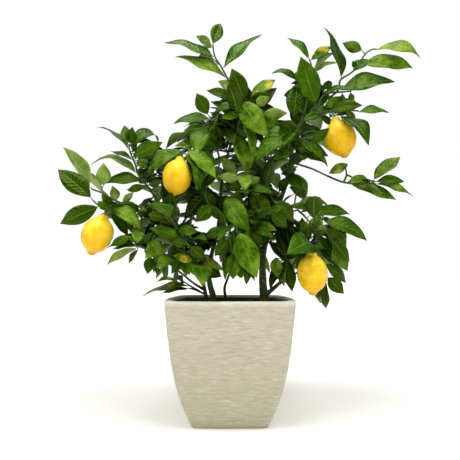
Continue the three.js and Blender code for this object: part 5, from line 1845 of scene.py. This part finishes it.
# Leafy shoots: the twigs' points, a row for each leaf seen, and how many more grow by rule.
# A row's last letter is the leaf's tone: partly its own colour, partly painted light and shade.
SHOOTS: dict[str, tuple[list[list[Placing]], list[Row], int]] = {
    "shoot_crown_left": ([
        [(239, 106, -18), (236, 95, -21), (231, 85, -23), (228, 79, -25), (224, 71, -27), (220, 64, -29),
         (216, 58, -31), (214, 51, -33), (213.5, 44, -34)],
        [(238, 100, -20), (243, 103, -22), (249, 102, -24)],
    ], [
        (213.5, 43, 221, 23, 13, "u", 10, 0.06, "m"), (213, 48, 197, 36, 9, "l", 16, 0.02, "p"),
        (213, 56.5, 165, 41, 8, "u", 8, 0.05, "m"), (229, 77, 176, 55, 10, "u", -16, 0.06, "b"),
        (225, 67, 262, 33, 10, "u", 4, 0.05, "m"), (246, 102, 232, 68, 18, "u", -12, 0.04, "d"),
        (234, 93, 219, 81, 10, "l", 26, 0.05, "w"), (238, 103, 207, 90, 10, "u", -14, 0.1, "d"),
        (252, 98, 276, 79, 12, "u", 10, 0.06, "y"), (249, 102, 272, 94, 12, "u", -10, 0.06, "d"),
    ], 1),
    "shoot_crown_right": ([
        [(325, 101, -32), (338, 91, -38), (341, 80, -41), (350, 74, -44), (357, 68, -46), (361, 62, -48),
         (365, 55, -50), (371, 50, -52), (377, 49, -53)],
    ], [
        (341.5, 77, 326, 26, 9, "u", 6, 0.05, "d"), (362, 50, 343, 43, 11, "l", 12, 0.05, "m"),
        (377, 49, 422, 57.5, 9, "u", -8, 0.2, "p"), (365, 64, 414, 67, 14, "u", -10, 0.1, "b"),
        (342, 90, 396, 80.5, 15, "u", -14, 0.1, "m"), (357, 68, 353, 61, 8, "u", -14, 0.1, "d"),
        (353, 72, 372, 60, 6, "u", 18, 0.1, "m"),
    ], 1),
    "shoot_crown_middle": ([
        [(297.5, 131, -10), (303, 118, -20), (307, 104, -30), (311, 90, -36), (313, 78, -39),
         (312, 66, -41), (310, 60, -42)],
        [(304, 114, -24), (297, 105, -18), (296, 92, -12), (298, 82, -8)],
    ], [
        (316, 104, 301, 56, 22, "u", -14, 0.06, "m"), (309, 58, 288, 37, 7, "u", 6, 0.08, "m"),
        (311, 60, 333, 46, 9, "u", -8, 0.06, "y"), (314, 72, 333, 53, 8, "l", 10, 0.05, "p"),
        (315, 72, 338, 62, 4, "u", 4, 0.1, "m"), (297, 81, 272, 73, 6, "u", 0, 0.28, "m"),
        (294, 117, 298, 82, 19, "u", 4, 0.06, "d"), (299, 107, 311, 84, 9, "u", 12, 0.08, "d"),
        (300, 90, 284, 96, 8, "u", 14, 0.14, "d"), (299, 84, 305, 66, 8, "u", 20, 0.1, "d"),
    ], 1),
    "shoot_high_right": ([
        [(317, 107, -28), (321, 112, -40), (330, 111, -50), (344, 110, -58), (359, 111, -64)],
        [(330, 111, -50), (334, 114, -54), (335, 116.6, -56)],
        [(319, 109, -34), (322, 98, -40), (330, 93, -44), (342, 92, -47), (352, 91, -49)],
    ], [
        (322, 89, 333, 82, 8, "u", 12, 0.1, "d"), (323, 93, 358, 88, 5, "u", -6, 0.06, "m"),
        (326, 108, 341, 96, 9, "u", -10, 0.1, "m"), (329, 112, 363, 105, 12, "u", -20, 0.12, "d"),
        (360, 112, 390, 112, 7, "u", 6, 0.08, "m"), (343, 93, 343, 105, 6, "l", -4, 0.05, "y"),
        (352, 91, 353, 103, 6, "u", 4, 0.05, "m"), (341, 116, 370, 144, 12, "u", -12, 0.12, "d"),
        (320, 115, 303, 121, 8, "u", -12, 0.12, "d"), (321, 117, 336, 129, 6, "u", -30, 0.08, "d"),
        (345, 112, 356, 122, 7, "l", 20, 0.1, "d"),
    ], 0),
    "shoot_inner_right": ([
        [(293.6, 140, -8), (297, 140, -34), (299, 134, -56), (299.5, 129, -66)],
        [(298, 137, -48), (306, 141, -56), (312, 144, -60)],
    ], [
        (299, 127, 255, 161, 20, "u", -8, 0.12, "m"), (292, 142, 329, 156, 17, "u", -18, 0.08, "d"),
        (293, 150, 273, 160, 9, "u", -14, 0.08, "b"), (312, 143, 330, 128, 10, "u", 14, 0.1, "d"),
        (300, 141, 329, 166, 8, "u", 4, 0.1, "m"), (296, 148, 327, 163, 11, "u", -4, 0.1, "d"),
    ], 1),
    "shoot_middle": ([
        [(232, 141, -4), (236, 132, -26), (240, 122, -44), (243, 112, -54), (244, 104, -58)],
        [(242, 117, -50), (252, 118, -52), (262, 116, -54)],
    ], [
        (242, 103, 268, 137, 22, "u", -20, 0.1, "b"), (245, 121, 254, 156, 10, "u", -12, 0.06, "b"),
        (238, 134, 248, 176, 18, "u", -24, 0.08, "b"), (243, 115, 219, 119, 8, "u", -10, 0.12, "m"),
        (240, 106, 214, 112, 8, "u", 4, 0.14, "d"), (264, 115, 288, 113, 12, "l", 8, 0.1, "p"),
        (262, 119, 284, 129, 12, "u", -4, 0.1, "m"), (257, 104, 270, 97, 11, "l", 14, 0.05, "p"),
    ], 1),
    "shoot_high_left": ([
        [(234.5, 134, -7), (226, 126, -24), (215, 122, -40), (205, 125, -50), (196, 131, -58)],
        [(215, 122, -40), (210, 117, -36)],
    ], [
        (211, 120, 173.5, 123, 9, "u", 10, 0.1, "m"), (206, 128, 184, 131, 9, "u", -10, 0.14, "d"),
        (194, 133, 166, 148, 9, "l", 4, 0.12, "p"), (208, 114, 197, 93, 17, "u", -10, 0.06, "d"),
        (232, 112, 211, 101, 7, "u", 0, 0.06, "d"), (224, 125, 236, 146, 12, "u", -16, 0.1, "d"),
        (214, 122, 206, 142, 11, "u", -18, 0.1, "d"),
    ], 2),
    "shoot_lemon_left": ([
        [(207, 149, -52), (198, 147, -70), (190, 147, -84), (184, 150, -94), (181.5, 155.5, -100)],
        [(218, 150, -26), (220, 160, -40), (219, 170, -52)],
    ], [
        (220, 147, 175, 145, 12, "u", -30, 0.06, "b"), (183, 148, 147, 171, 13, "u", 10, 0.12, "m"),
        (176, 156, 160, 175, 9, "u", 14, 0.08, "m"), (188, 149, 217, 178, 15, "u", -6, 0.1, "b"),
        (191, 150, 219, 164, 9, "u", 16, 0.12, "d"), (188, 155, 201, 190, 12, "u", 6, 0.08, "d"),
        (219, 172, 203, 188, 9, "u", 10, 0.1, "d"), (223, 158, 238, 178, 12, "l", 8, 0.1, "p"),
    ], 2),
    "shoot_upper_left": ([
        [(149, 188, -59), (144, 181, -61), (138, 173, -63), (136, 165, -65), (133, 158, -66),
         (130, 150, -67), (129.5, 145, -68)],
        [(145, 182, -61), (148, 175, -66), (150, 168, -70)],
    ], [
        (128, 150, 98, 126, 4, "u", 0, 0.13, "m"), (128, 143, 125, 125, 14, "l", 14, 0.05, "p"),
        (130.5, 143, 133, 127, 13, "u", -22, 0.08, "d"), (131, 146, 159, 142, 10, "u", -8, 0.46, "d"),
        (135, 156, 163, 142, 16, "u", -14, 0.08, "m"), (133, 151, 139, 137, 7, "l", 16, 0.05, "p"),
        (134, 160, 111, 151, 5, "u", 6, 0.06, "m"), (136, 173, 91, 164, 6, "u", -6, 0.27, "p"),
        (142, 182, 104, 183, 11, "u", -10, 0.16, "d"), (148, 176, 155, 170, 6, "u", -12, 0.1, "m"),
        (151, 168, 138, 160, 11, "u", 10, 0.1, "m"), (149, 184, 163, 181, 8, "l", 16, 0.1, "p"),
        (147, 186, 128, 191, 8, "u", 6, 0.12, "m"), (151, 166, 172, 152, 12, "u", 16, 0.08, "d"),
    ], 0),
    "shoot_far_left": ([
        [(125, 205, -76), (113, 199, -82), (107, 196, -84), (103, 193, -85), (92, 189, -88)],
        [(121, 203, -78), (115, 209, -84), (110, 211, -88), (100, 206, -90), (93, 200, -91)],
        [(112, 210.4, -86), (108, 211.5, -92), (105.4, 213, -95)],
    ], [
        (91, 197, 58, 169, 20, "u", 4, 0.05, "d"), (90, 187, 65, 147, 14, "l", 8, 0.06, "p"),
        (104, 185, 104, 163, 19, "l", 24, 0.03, "p"), (107, 194, 87, 178, 8, "l", 10, 0.06, "p"),
        (99, 207, 60, 224, 18, "u", -8, 0.06, "d"), (118.5, 200, 113, 186, 10, "l", 12, 0.04, "p"),
        (122, 203, 134, 192, 7, "l", 12, 0.06, "p"), (112, 205, 102, 194, 9, "u", -10, 0.1, "d"),
        (110, 210, 98, 201, 8, "u", -14, 0.08, "m"), (114, 206, 142, 229, 15, "u", -16, 0.1, "b"),
        (121, 205, 141, 211, 13, "u", 14, 0.12, "d"), (112, 214, 129, 236, 10, "u", 14, 0.06, "d"),
    ], 0),
    "shoot_low_left": ([
        [(172, 265, -58), (163, 258, -74), (152, 250, -90), (141, 247, -100), (137, 246, -103)],
        [(152, 250, -90), (150, 241, -96), (142, 234, -100)],
        [(163, 258, -74), (157, 263, -82), (154, 268, -86)],
    ], [
        (136, 249, 107.5, 264, 8, "l", -4, 0.1, "p"), (138, 250, 129, 263.5, 5, "u", 4, 0.06, "d"),
        (131, 237, 111, 246, 9, "u", 6, 0.1, "m"), (136, 246, 113, 249, 7, "u", 12, 0.1, "d"),
        (139, 231, 137.5, 243, 14, "u", -26, 0.08, "b"), (162, 242, 146, 258, 18, "u", -30, 0.08, "b"),
        (170, 255, 157, 268, 13, "u", -20, 0.12, "b"), (151, 257, 148, 274, 11, "u", 4, 0.06, "d"),
        (157, 263, 158.5, 276, 5, "u", -4, 0.05, "d"), (167, 263, 165.5, 280, 6, "u", 6, 0.05, "d"),
        (178, 270, 176, 285, 5, "u", 10, 0.05, "d"), (146, 236, 131, 228, 9, "u", 16, 0.1, "m"),
    ], 1),
    "shoot_skirt_left": ([
        [(203.9, 293.6, -13), (198, 290, -24), (191, 286, -36), (183, 281, -48)],
        [(201, 292, -18), (195, 289.5, -30), (190, 288.4, -42)],
    ], [
        (190, 287, 141.4, 296, 6, "u", 10, 0.08, "y"), (189, 288.6, 161, 293, 5, "u", -14, 0.04, "d"),
        (181, 280, 157, 281, 4, "l", 24, 0.05, "y"), (186, 283, 177, 277, 6, "u", 14, 0.05, "d"),
    ], 0),
    "shoot_left_middle": ([
        [(178, 230, -84), (174, 222, -96), (168, 214, -106)],
        [(181, 234, -78), (184, 240, -88), (190, 246, -98)],
    ], [
        (172, 224, 153, 200, 23, "u", -8, 0.06, "k"), (168, 213, 172, 192, 18, "u", -4, 0.08, "k"),
        (180, 238, 150, 228, 13, "u", -22, 0.1, "m"), (184, 240, 162, 232, 12, "u", 14, 0.1, "d"),
        (179, 228, 198, 232, 11, "u", -10, 0.1, "m"), (190, 246, 206, 260, 13, "u", 8, 0.1, "d"),
        (188, 246, 172, 241, 12, "u", -10, 0.12, "d"), (164, 218, 148, 214, 12, "u", 16, 0.1, "d"),
    ], 2),
    "shoot_low_middle": ([
        [(203, 268, -21), (201, 264, -44), (197.5, 261.4, -64), (195, 261, -76)],
        [(197.5, 261.4, -64), (190, 256, -62), (182, 254, -58)],
    ], [
        (195, 260.5, 173, 255.5, 9, "u", -14, 0.12, "y"), (197, 261, 224, 270, 9, "u", -20, 0.1, "y"),
        (191, 261, 199, 277, 12, "u", -6, 0.08, "b"), (184, 258, 190, 275, 11, "u", 4, 0.08, "m"),
        (200, 265, 222, 277, 13, "u", 14, 0.1, "k"), (190, 256, 174, 247, 9, "u", 10, 0.1, "d"),
        (183, 256, 172, 274, 10, "u", 6, 0.08, "d"),
    ], 2),
    "shoot_inner_left": ([
        [(208, 188, -36), (206, 190, -50), (206, 196, -64), (208, 204, -74)],
    ], [
        (211, 189.5, 184.5, 218.8, 19, "u", -10, 0.08, "k"), (212, 206, 196, 222, 16, "u", -10, 0.1, "d"),
        (209, 206, 224, 220, 10, "u", 6, 0.1, "d"), (206, 192, 218, 206, 9, "u", 16, 0.1, "d"),
    ], 2),
    "shoot_heart": ([
        [(249, 196, -24), (249, 190, -44), (247.5, 182, -62), (245, 177, -74)],
        [(248.6, 188, -50), (240, 193, -66), (230, 197, -80)],
        [(249, 191, -42), (256, 196, -54), (260, 206, -62)],
    ], [
        (246, 175, 245.5, 191, 14, "u", -40, 0.1, "b"), (251, 184, 260, 177, 12, "l", -10, 0.08, "p"),
        (240, 179, 218, 176, 10, "l", -6, 0.1, "p"), (247, 194, 274, 215, 18, "u", -26, 0.1, "b"),
        (226, 198, 250, 232, 21, "u", -26, 0.08, "m"), (256, 209, 268, 219, 9, "u", -10, 0.1, "m"),
        (232, 193, 244, 206, 10, "u", 16, 0.1, "d"), (242, 187, 226, 186, 10, "u", 10, 0.1, "d"),
    ], 1),
    "shoot_heart_right": ([
        [(262, 220, -60), (262, 216, -76), (270, 212, -84), (278, 206, -88)],
        [(262, 219, -64), (257, 223, -74), (253, 227, -80)],
    ], [
        (256, 222, 277, 230, 9, "u", -16, 0.14, "b"), (254, 229, 274, 237, 9, "u", 4, 0.16, "m"),
        (280, 201, 294, 221, 14, "u", 4, 0.08, "d"), (270, 212, 283, 206, 10, "u", -12, 0.1, "m"),
        (272, 213, 288, 228, 13, "u", -6, 0.1, "d"), (252, 231, 263, 246, 9, "u", 14, 0.1, "d"),
    ], 2),
    "shoot_front": ([
        [(230, 226, -72), (234, 223, -92), (236.6, 226, -106), (237, 232, -114)],
        [(232.6, 224, -84), (230, 232, -90), (231, 242, -92), (233, 252, -92)],
    ], [
        (239, 233, 257.5, 278, 24, "u", -6, 0.08, "b"), (235, 236, 234, 262, 10, "u", 6, 0.08, "m"),
        (234, 257, 233.5, 279.5, 14, "u", -6, 0.08, "m"), (237, 256, 242, 279, 12, "u", 8, 0.1, "b"),
        (228, 229, 204, 238, 11, "u", 8, 0.14, "d"), (230, 238, 215, 256, 12, "u", 6, 0.1, "d"),
        (230, 244, 220, 262, 10, "u", 14, 0.1, "d"), (236, 254, 256, 281, 10, "u", 8, 0.1, "k"),
        (234, 254, 225, 280, 8, "u", 8, 0.1, "d"), (246, 258, 247, 285, 10, "u", 6, 0.1, "d"),
    ], 1),
    "shoot_right_sprig": ([
        [(328, 176, -20), (343, 182, -28), (360, 184, -36), (374, 182.6, -42)],
        [(344, 182.4, -28), (347, 175, -31), (346, 168, -33)],
        [(347, 175, -31), (350, 176, -34), (353, 177.4, -36)],
    ], [
        (375, 179, 401, 156, 13, "u", 8, 0.05, "b"), (378, 181, 405, 181.5, 10, "u", -12, 0.12, "d"),
        (378, 184, 415, 196, 6, "u", 4, 0.06, "b"), (349, 184, 397.5, 199, 12, "u", -16, 0.02, "b"),
        (362, 184, 384, 193, 4, "l", -30, 0.02, "p"), (373, 181, 348, 182, 8, "u", -12, 0.2, "b"),
        (348, 164, 329, 173.5, 10, "l", 10, 0.08, "y"),
    ], 1),
    "shoot_right_gap": ([
        [(289, 173, 4), (294, 180, -12), (297, 188, -22), (296, 198, -28), (294.5, 206, -32)],
    ], [
        (295, 205, 329, 205, 6, "l", 6, 0.2, "p"), (290, 187, 310, 206, 8, "u", -6, 0.12, "d"),
        (296, 174, 308, 196, 9, "u", 4, 0.08, "m"), (288, 176, 303, 191, 12, "u", -10, 0.1, "d"),
        (291, 176, 279, 192, 10, "u", -8, 0.1, "d"),
    ], 1),
    "shoot_right_bough": ([
        [(311, 236, -40), (312, 230, -54), (314, 223, -66), (318, 217, -74), (325, 214, -80)],
        [(298, 210, -20), (304, 215, -34), (309, 221, -46)],
        [(312, 232, -48), (320, 231, -64), (328, 233, -78), (333, 240, -88)],
    ], [
        (311, 215, 351, 213.6, 12, "u", 6, 0.14, "m"), (325, 221, 368, 240, 15, "u", -8, 0.16, "d"),
        (328, 228, 347, 246.5, 20, "u", 10, 0.12, "d"), (316, 229, 331, 230, 9, "l", -20, 0.1, "p"),
        (322, 233, 347, 247, 9, "u", -16, 0.06, "m"), (334, 246, 348, 271, 15, "l", -10, 0.08, "m"),
        (308, 222, 301, 232, 10, "u", -14, 0.1, "m"), (311, 230, 320, 220, 12, "u", -20, 0.1, "m"),
        (299, 213, 320, 211, 5, "u", -8, 0.14, "m"), (319, 236, 336, 261, 9, "u", 8, 0.08, "d"),
        (332, 238, 350, 262, 13, "u", -6, 0.1, "d"),
    ], 1),
    "shoot_lemon_right": ([
        [(305, 248, -24), (309, 246, -50), (312, 246, -72), (312, 249.6, -84)],
        [(310, 246, -58), (318, 250, -64), (324, 260, -66), (327, 270, -68), (327, 277, -70)],
        [(307, 247, -40), (300, 250, -58), (296, 252, -72)],
        [(300.5, 255, -12), (293, 258, -30), (287, 260, -44)],
    ], [
        (311, 243, 288, 253, 24, "u", -24, 0.1, "m"), (318, 248, 340, 271, 14, "u", 6, 0.1, "d"),
        (328, 277, 344.5, 294, 15, "u", -10, 0.08, "d"), (326.5, 283, 326, 309, 11, "u", 8, 0.1, "d"),
        (324, 282, 320, 304, 10, "u", -8, 0.12, "d"), (285, 261, 293, 292, 13, "u", -8, 0.08, "d"),
        (304, 251, 297, 270, 9, "u", 4, 0.06, "d"), (286, 260, 284, 287, 6, "u", -18, 0.08, "b"),
        (276, 258, 278, 278, 12, "u", -12, 0.1, "b"), (289, 259, 290, 276, 9, "u", 10, 0.1, "d"),
        (287, 258, 277, 231, 12, "u", 6, 0.08, "k"), (290, 256, 286, 226, 12, "u", 2, 0.08, "k"),
        (285, 261, 281, 285, 10, "u", -4, 0.1, "d"), (284, 262, 270, 289, 10, "u", 4, 0.1, "k"),
        (290, 264, 268, 240, 11, "u", 4, 0.08, "k"), (326, 262, 347, 283, 11, "u", 6, 0.08, "d"),
    ], 0),
    "shoot_back_left": ([
        [(182, 230, -43), (174, 224, 0), (167, 212, 44), (163, 198, 80), (164, 182, 104),
         (170, 168, 120)],
    ], [], 9),
    "shoot_back_low_left": ([
        [(203.4, 274, -17), (195, 262, 26), (184, 251, 66), (174, 242, 98), (165, 236, 126)],
    ], [], 9),
    "shoot_back_middle": ([
        [(220, 212, 2), (213, 200, 46), (208, 184, 84), (208, 166, 112), (214, 148, 132)],
    ], [], 9),
    "shoot_back_high": ([
        [(235.4, 130, -9), (242, 122, 30), (252, 116, 62), (262, 108, 86)],
    ], [], 7),
    "shoot_back_right": ([
        [(275.6, 216, 6), (270, 204, 48), (265, 190, 86), (266, 172, 116), (272, 154, 136)],
    ], [], 9),
    "shoot_back_low_middle": ([
        [(233, 266, 8), (238, 256, 50), (244, 246, 86), (250, 236, 116)],
    ], [], 7),
    "shoot_back_low_right": ([
        [(288, 273, 5), (295, 262, 44), (303, 252, 80), (311, 244, 108), (320, 237, 130)],
    ], [], 8),
    "shoot_back_top_right": ([
        [(291.8, 150, -3), (296, 140, 34), (302, 128, 66), (310, 116, 92)],
    ], [], 7),
}

# Lemons: neck, nipple, depth, lean, length and width, and the shoot that bears it.
LEMONS: dict[str, tuple[Pixel, Pixel, float, float, Pair, str]] = {
    "lemon_far_left": ((105, 214.6), (91, 254.5), -96, -4, (73, 54), "shoot_far_left"),
    "lemon_left": ((181, 157.2), (174, 199.6), -102, -6, (72, 52), "shoot_lemon_left"),
    "lemon_right": ((335.2, 118.4), (347, 160.5), -57, -6, (80, 59), "shoot_high_right"),
    "lemon_low_right": ((312, 251.4), (313.5, 295.5), -86, 2, (76, 54), "shoot_lemon_right"),
}

# The leafy mass of the crown: pixels round its outline, clockwise from the top.
LEAFY_MASS: list[Pixel] = [
    (232, 74), (246, 80), (254, 88), (266, 80), (272, 86), (268, 104), (284, 110), (286, 118), (294, 124),
    (304, 116), (296, 104), (286, 96), (288, 84), (298, 78), (298, 64), (316, 64), (320, 82), (330, 96),
    (352, 94), (360, 106), (350, 114), (330, 118), (326, 132), (328, 150), (322, 160), (300, 162),
    (296, 176), (282, 182), (284, 196), (290, 212), (300, 222), (312, 212), (334, 212), (350, 228),
    (350, 262), (344, 286), (330, 288), (322, 300), (310, 290), (296, 284), (286, 288), (266, 284),
    (258, 278), (226, 278), (222, 272), (196, 278), (170, 272), (150, 262), (142, 246), (120, 240),
    (118, 226), (104, 214), (104, 202), (118, 200), (134, 204), (146, 200), (146, 190), (136, 180),
    (136, 164), (130, 150), (124, 134), (140, 132), (152, 140), (164, 138), (184, 122), (200, 118),
    (204, 104), (214, 104), (222, 92), (224, 80),
]

# Gaps in it where sky is seen: left, top, right and bottom pixel.
SKY_GAPS: list[tuple[float, float, float, float]] = [
    (134, 188, 146, 201), (174, 204, 185, 219), (200, 218, 227, 232), (205, 178, 215, 188),
    (209, 248, 216, 258), (210, 278, 228, 296), (229, 280, 260, 296), (265, 242, 275, 260),
    (286, 182, 312, 214), (216, 150, 226, 166), (140, 126, 150, 136), (356, 10, 386, 48),
    (302, 34, 326, 50),
]


# ---- Studio ------------------------------------------------------------------


@dataclass
class Studio:
    """The pale floor, the soft lights and the camera.

    Attributes:
        floor_size: Half width of the floor in metres.
        sky: Strength of the light from all round.
        mirrored_sky: Strength of what glossy surfaces mirror of it.
        backdrop: Strength of the white that is seen behind the tree.
        lamps: Name, the way that it shines from, softness as an angle in degrees, and strength.
        panels: For each bright panel that glossy surfaces mirror, the way to it, the angles from
            its middle where it starts and where it is full, in degrees, and its strength.
        sensor: Width of the camera's sensor in millimetres.
        nearest: Distance in metres from which the camera sees.
    """

    floor_size: float = 60.0
    sky: float = 0.5
    mirrored_sky: float = 0.04
    backdrop: float = 1.0
    lamps: tuple[tuple[str, Placing, float, float], ...] = (
        ("key", (-0.5, -0.33, 1.2), 36.0, 1.85),
        ("second", (0.54, -0.32, 1.2), 36.0, 1.7),
    )
    panels: tuple[tuple[Placing, float, float, float], ...] = (
        ((-0.1, -0.25, 1.0), 34.0, 22.0, 3.3),
        ((0.1, -0.6, 0.65), 17.0, 9.0, 4.2),
        ((-0.9, -0.5, 0.45), 24.0, 14.0, 3.0),
        ((0.95, -0.35, 0.35), 20.0, 12.0, 2.2),
        ((0.0, 1.0, 0.25), 60.0, 30.0, 0.45),
    )
    sensor: float = 36.0
    nearest: float = 0.01

    def build_floor(self) -> None:
        """Lays the floor."""
        grid = bmesh.new()
        bmesh.ops.create_grid(grid, x_segments=1, y_segments=1, size=self.floor_size)
        floor = shown(grid, "floor", [PAPER])

    def mirrored(self, nodes: Nodes) -> Socket:
        """The strength of what glossy surfaces mirror: a faint sky with bright panels in it.

        Args:
            nodes: The world's nodes.

        Returns:
            The strength.
        """
        way = nodes.add("TexCoord").outputs["Generated"]
        glows = []
        for panel, start, full, strength in self.panels:
            toward = nodes.add("VectorMath", way, Vector(panel).normalized(), operation="DOT_PRODUCT")
            glows.append(nodes.level(
                toward.outputs["Value"], math.cos(math.radians(start)), math.cos(math.radians(full)),
                self.mirrored_sky / len(self.panels), strength, "SMOOTHSTEP"))
        return reduce(nodes.plus, glows)

    def build_sky(self) -> None:
        """Sets the even light, what gloss mirrors of it, and the white that is seen behind."""
        world = bpy.data.worlds.new("studio")
        bpy.context.scene.world = world
        world.use_nodes = True
        nodes = Nodes(world.node_tree)
        rays = nodes.add("LightPath").outputs
        even = nodes.tree.nodes["Background"]
        nodes.feed(even.inputs["Color"], WHITE)
        nodes.feed(even.inputs["Strength"], self.sky)
        for ray, strength in (("Is Glossy Ray", self.mirrored(nodes)), ("Is Camera Ray", self.backdrop)):
            other = nodes.add("Background", WHITE, strength)
            even = nodes.add("MixShader", rays[ray], even.outputs[0], other.outputs[0])
        nodes.feed(nodes.tree.nodes["World Output"].inputs["Surface"], even.outputs[0])

    def build_lamps(self) -> None:
        """Hangs the soft lamps, each turned to the tree."""
        for name, way, softness, strength in self.lamps:
            light = bpy.data.lights.new(name, "SUN")
            light.angle = math.radians(softness)
            light.energy = strength
            lamp = linked(name, light)
            lamp.location = way
            lamp.rotation_euler = Vector(way).to_track_quat("Z", "Y").to_euler()
            lamp.visible_glossy = False

    def build_camera(self) -> None:
        """Sets the camera where the tables' eye is."""
        data = bpy.data.cameras.new("camera")
        data.sensor_width = self.sensor
        data.lens = self.sensor * SIGHT.focal_pixels / SIGHT.picture
        data.clip_start = self.nearest
        camera = linked("camera", data)
        camera.location = SIGHT.eye * MM
        camera.rotation_euler = (math.pi / 2 + SIGHT.tilt, 0.0, 0.0)
        bpy.context.scene.camera = camera

    def build(self) -> None:
        """Makes all of the studio."""
        bpy.context.scene.view_settings.view_transform = "Standard"
        self.build_floor()
        self.build_sky()
        self.build_lamps()
        self.build_camera()


def main() -> None:
    """Builds the tree piece by piece."""
    logging.basicConfig(level=logging.INFO, format="%(name)s %(message)s")
    Studio().build()
    pot = Pot()
    pot.build()
    Soil(pot).build()
    stems = [Stem(name, *table) for name, table in WOOD.items()]
    for stem in stems:
        stem.build()
    shoots = {name: Shoot(name, *table) for name, table in SHOOTS.items()}
    lemons = [Lemon(name, *table, shoots[bearer]) for name, (*table, bearer) in LEMONS.items()]
    Crown(stems, list(shoots.values()), lemons).build()


if __name__ == "__main__":
    main()
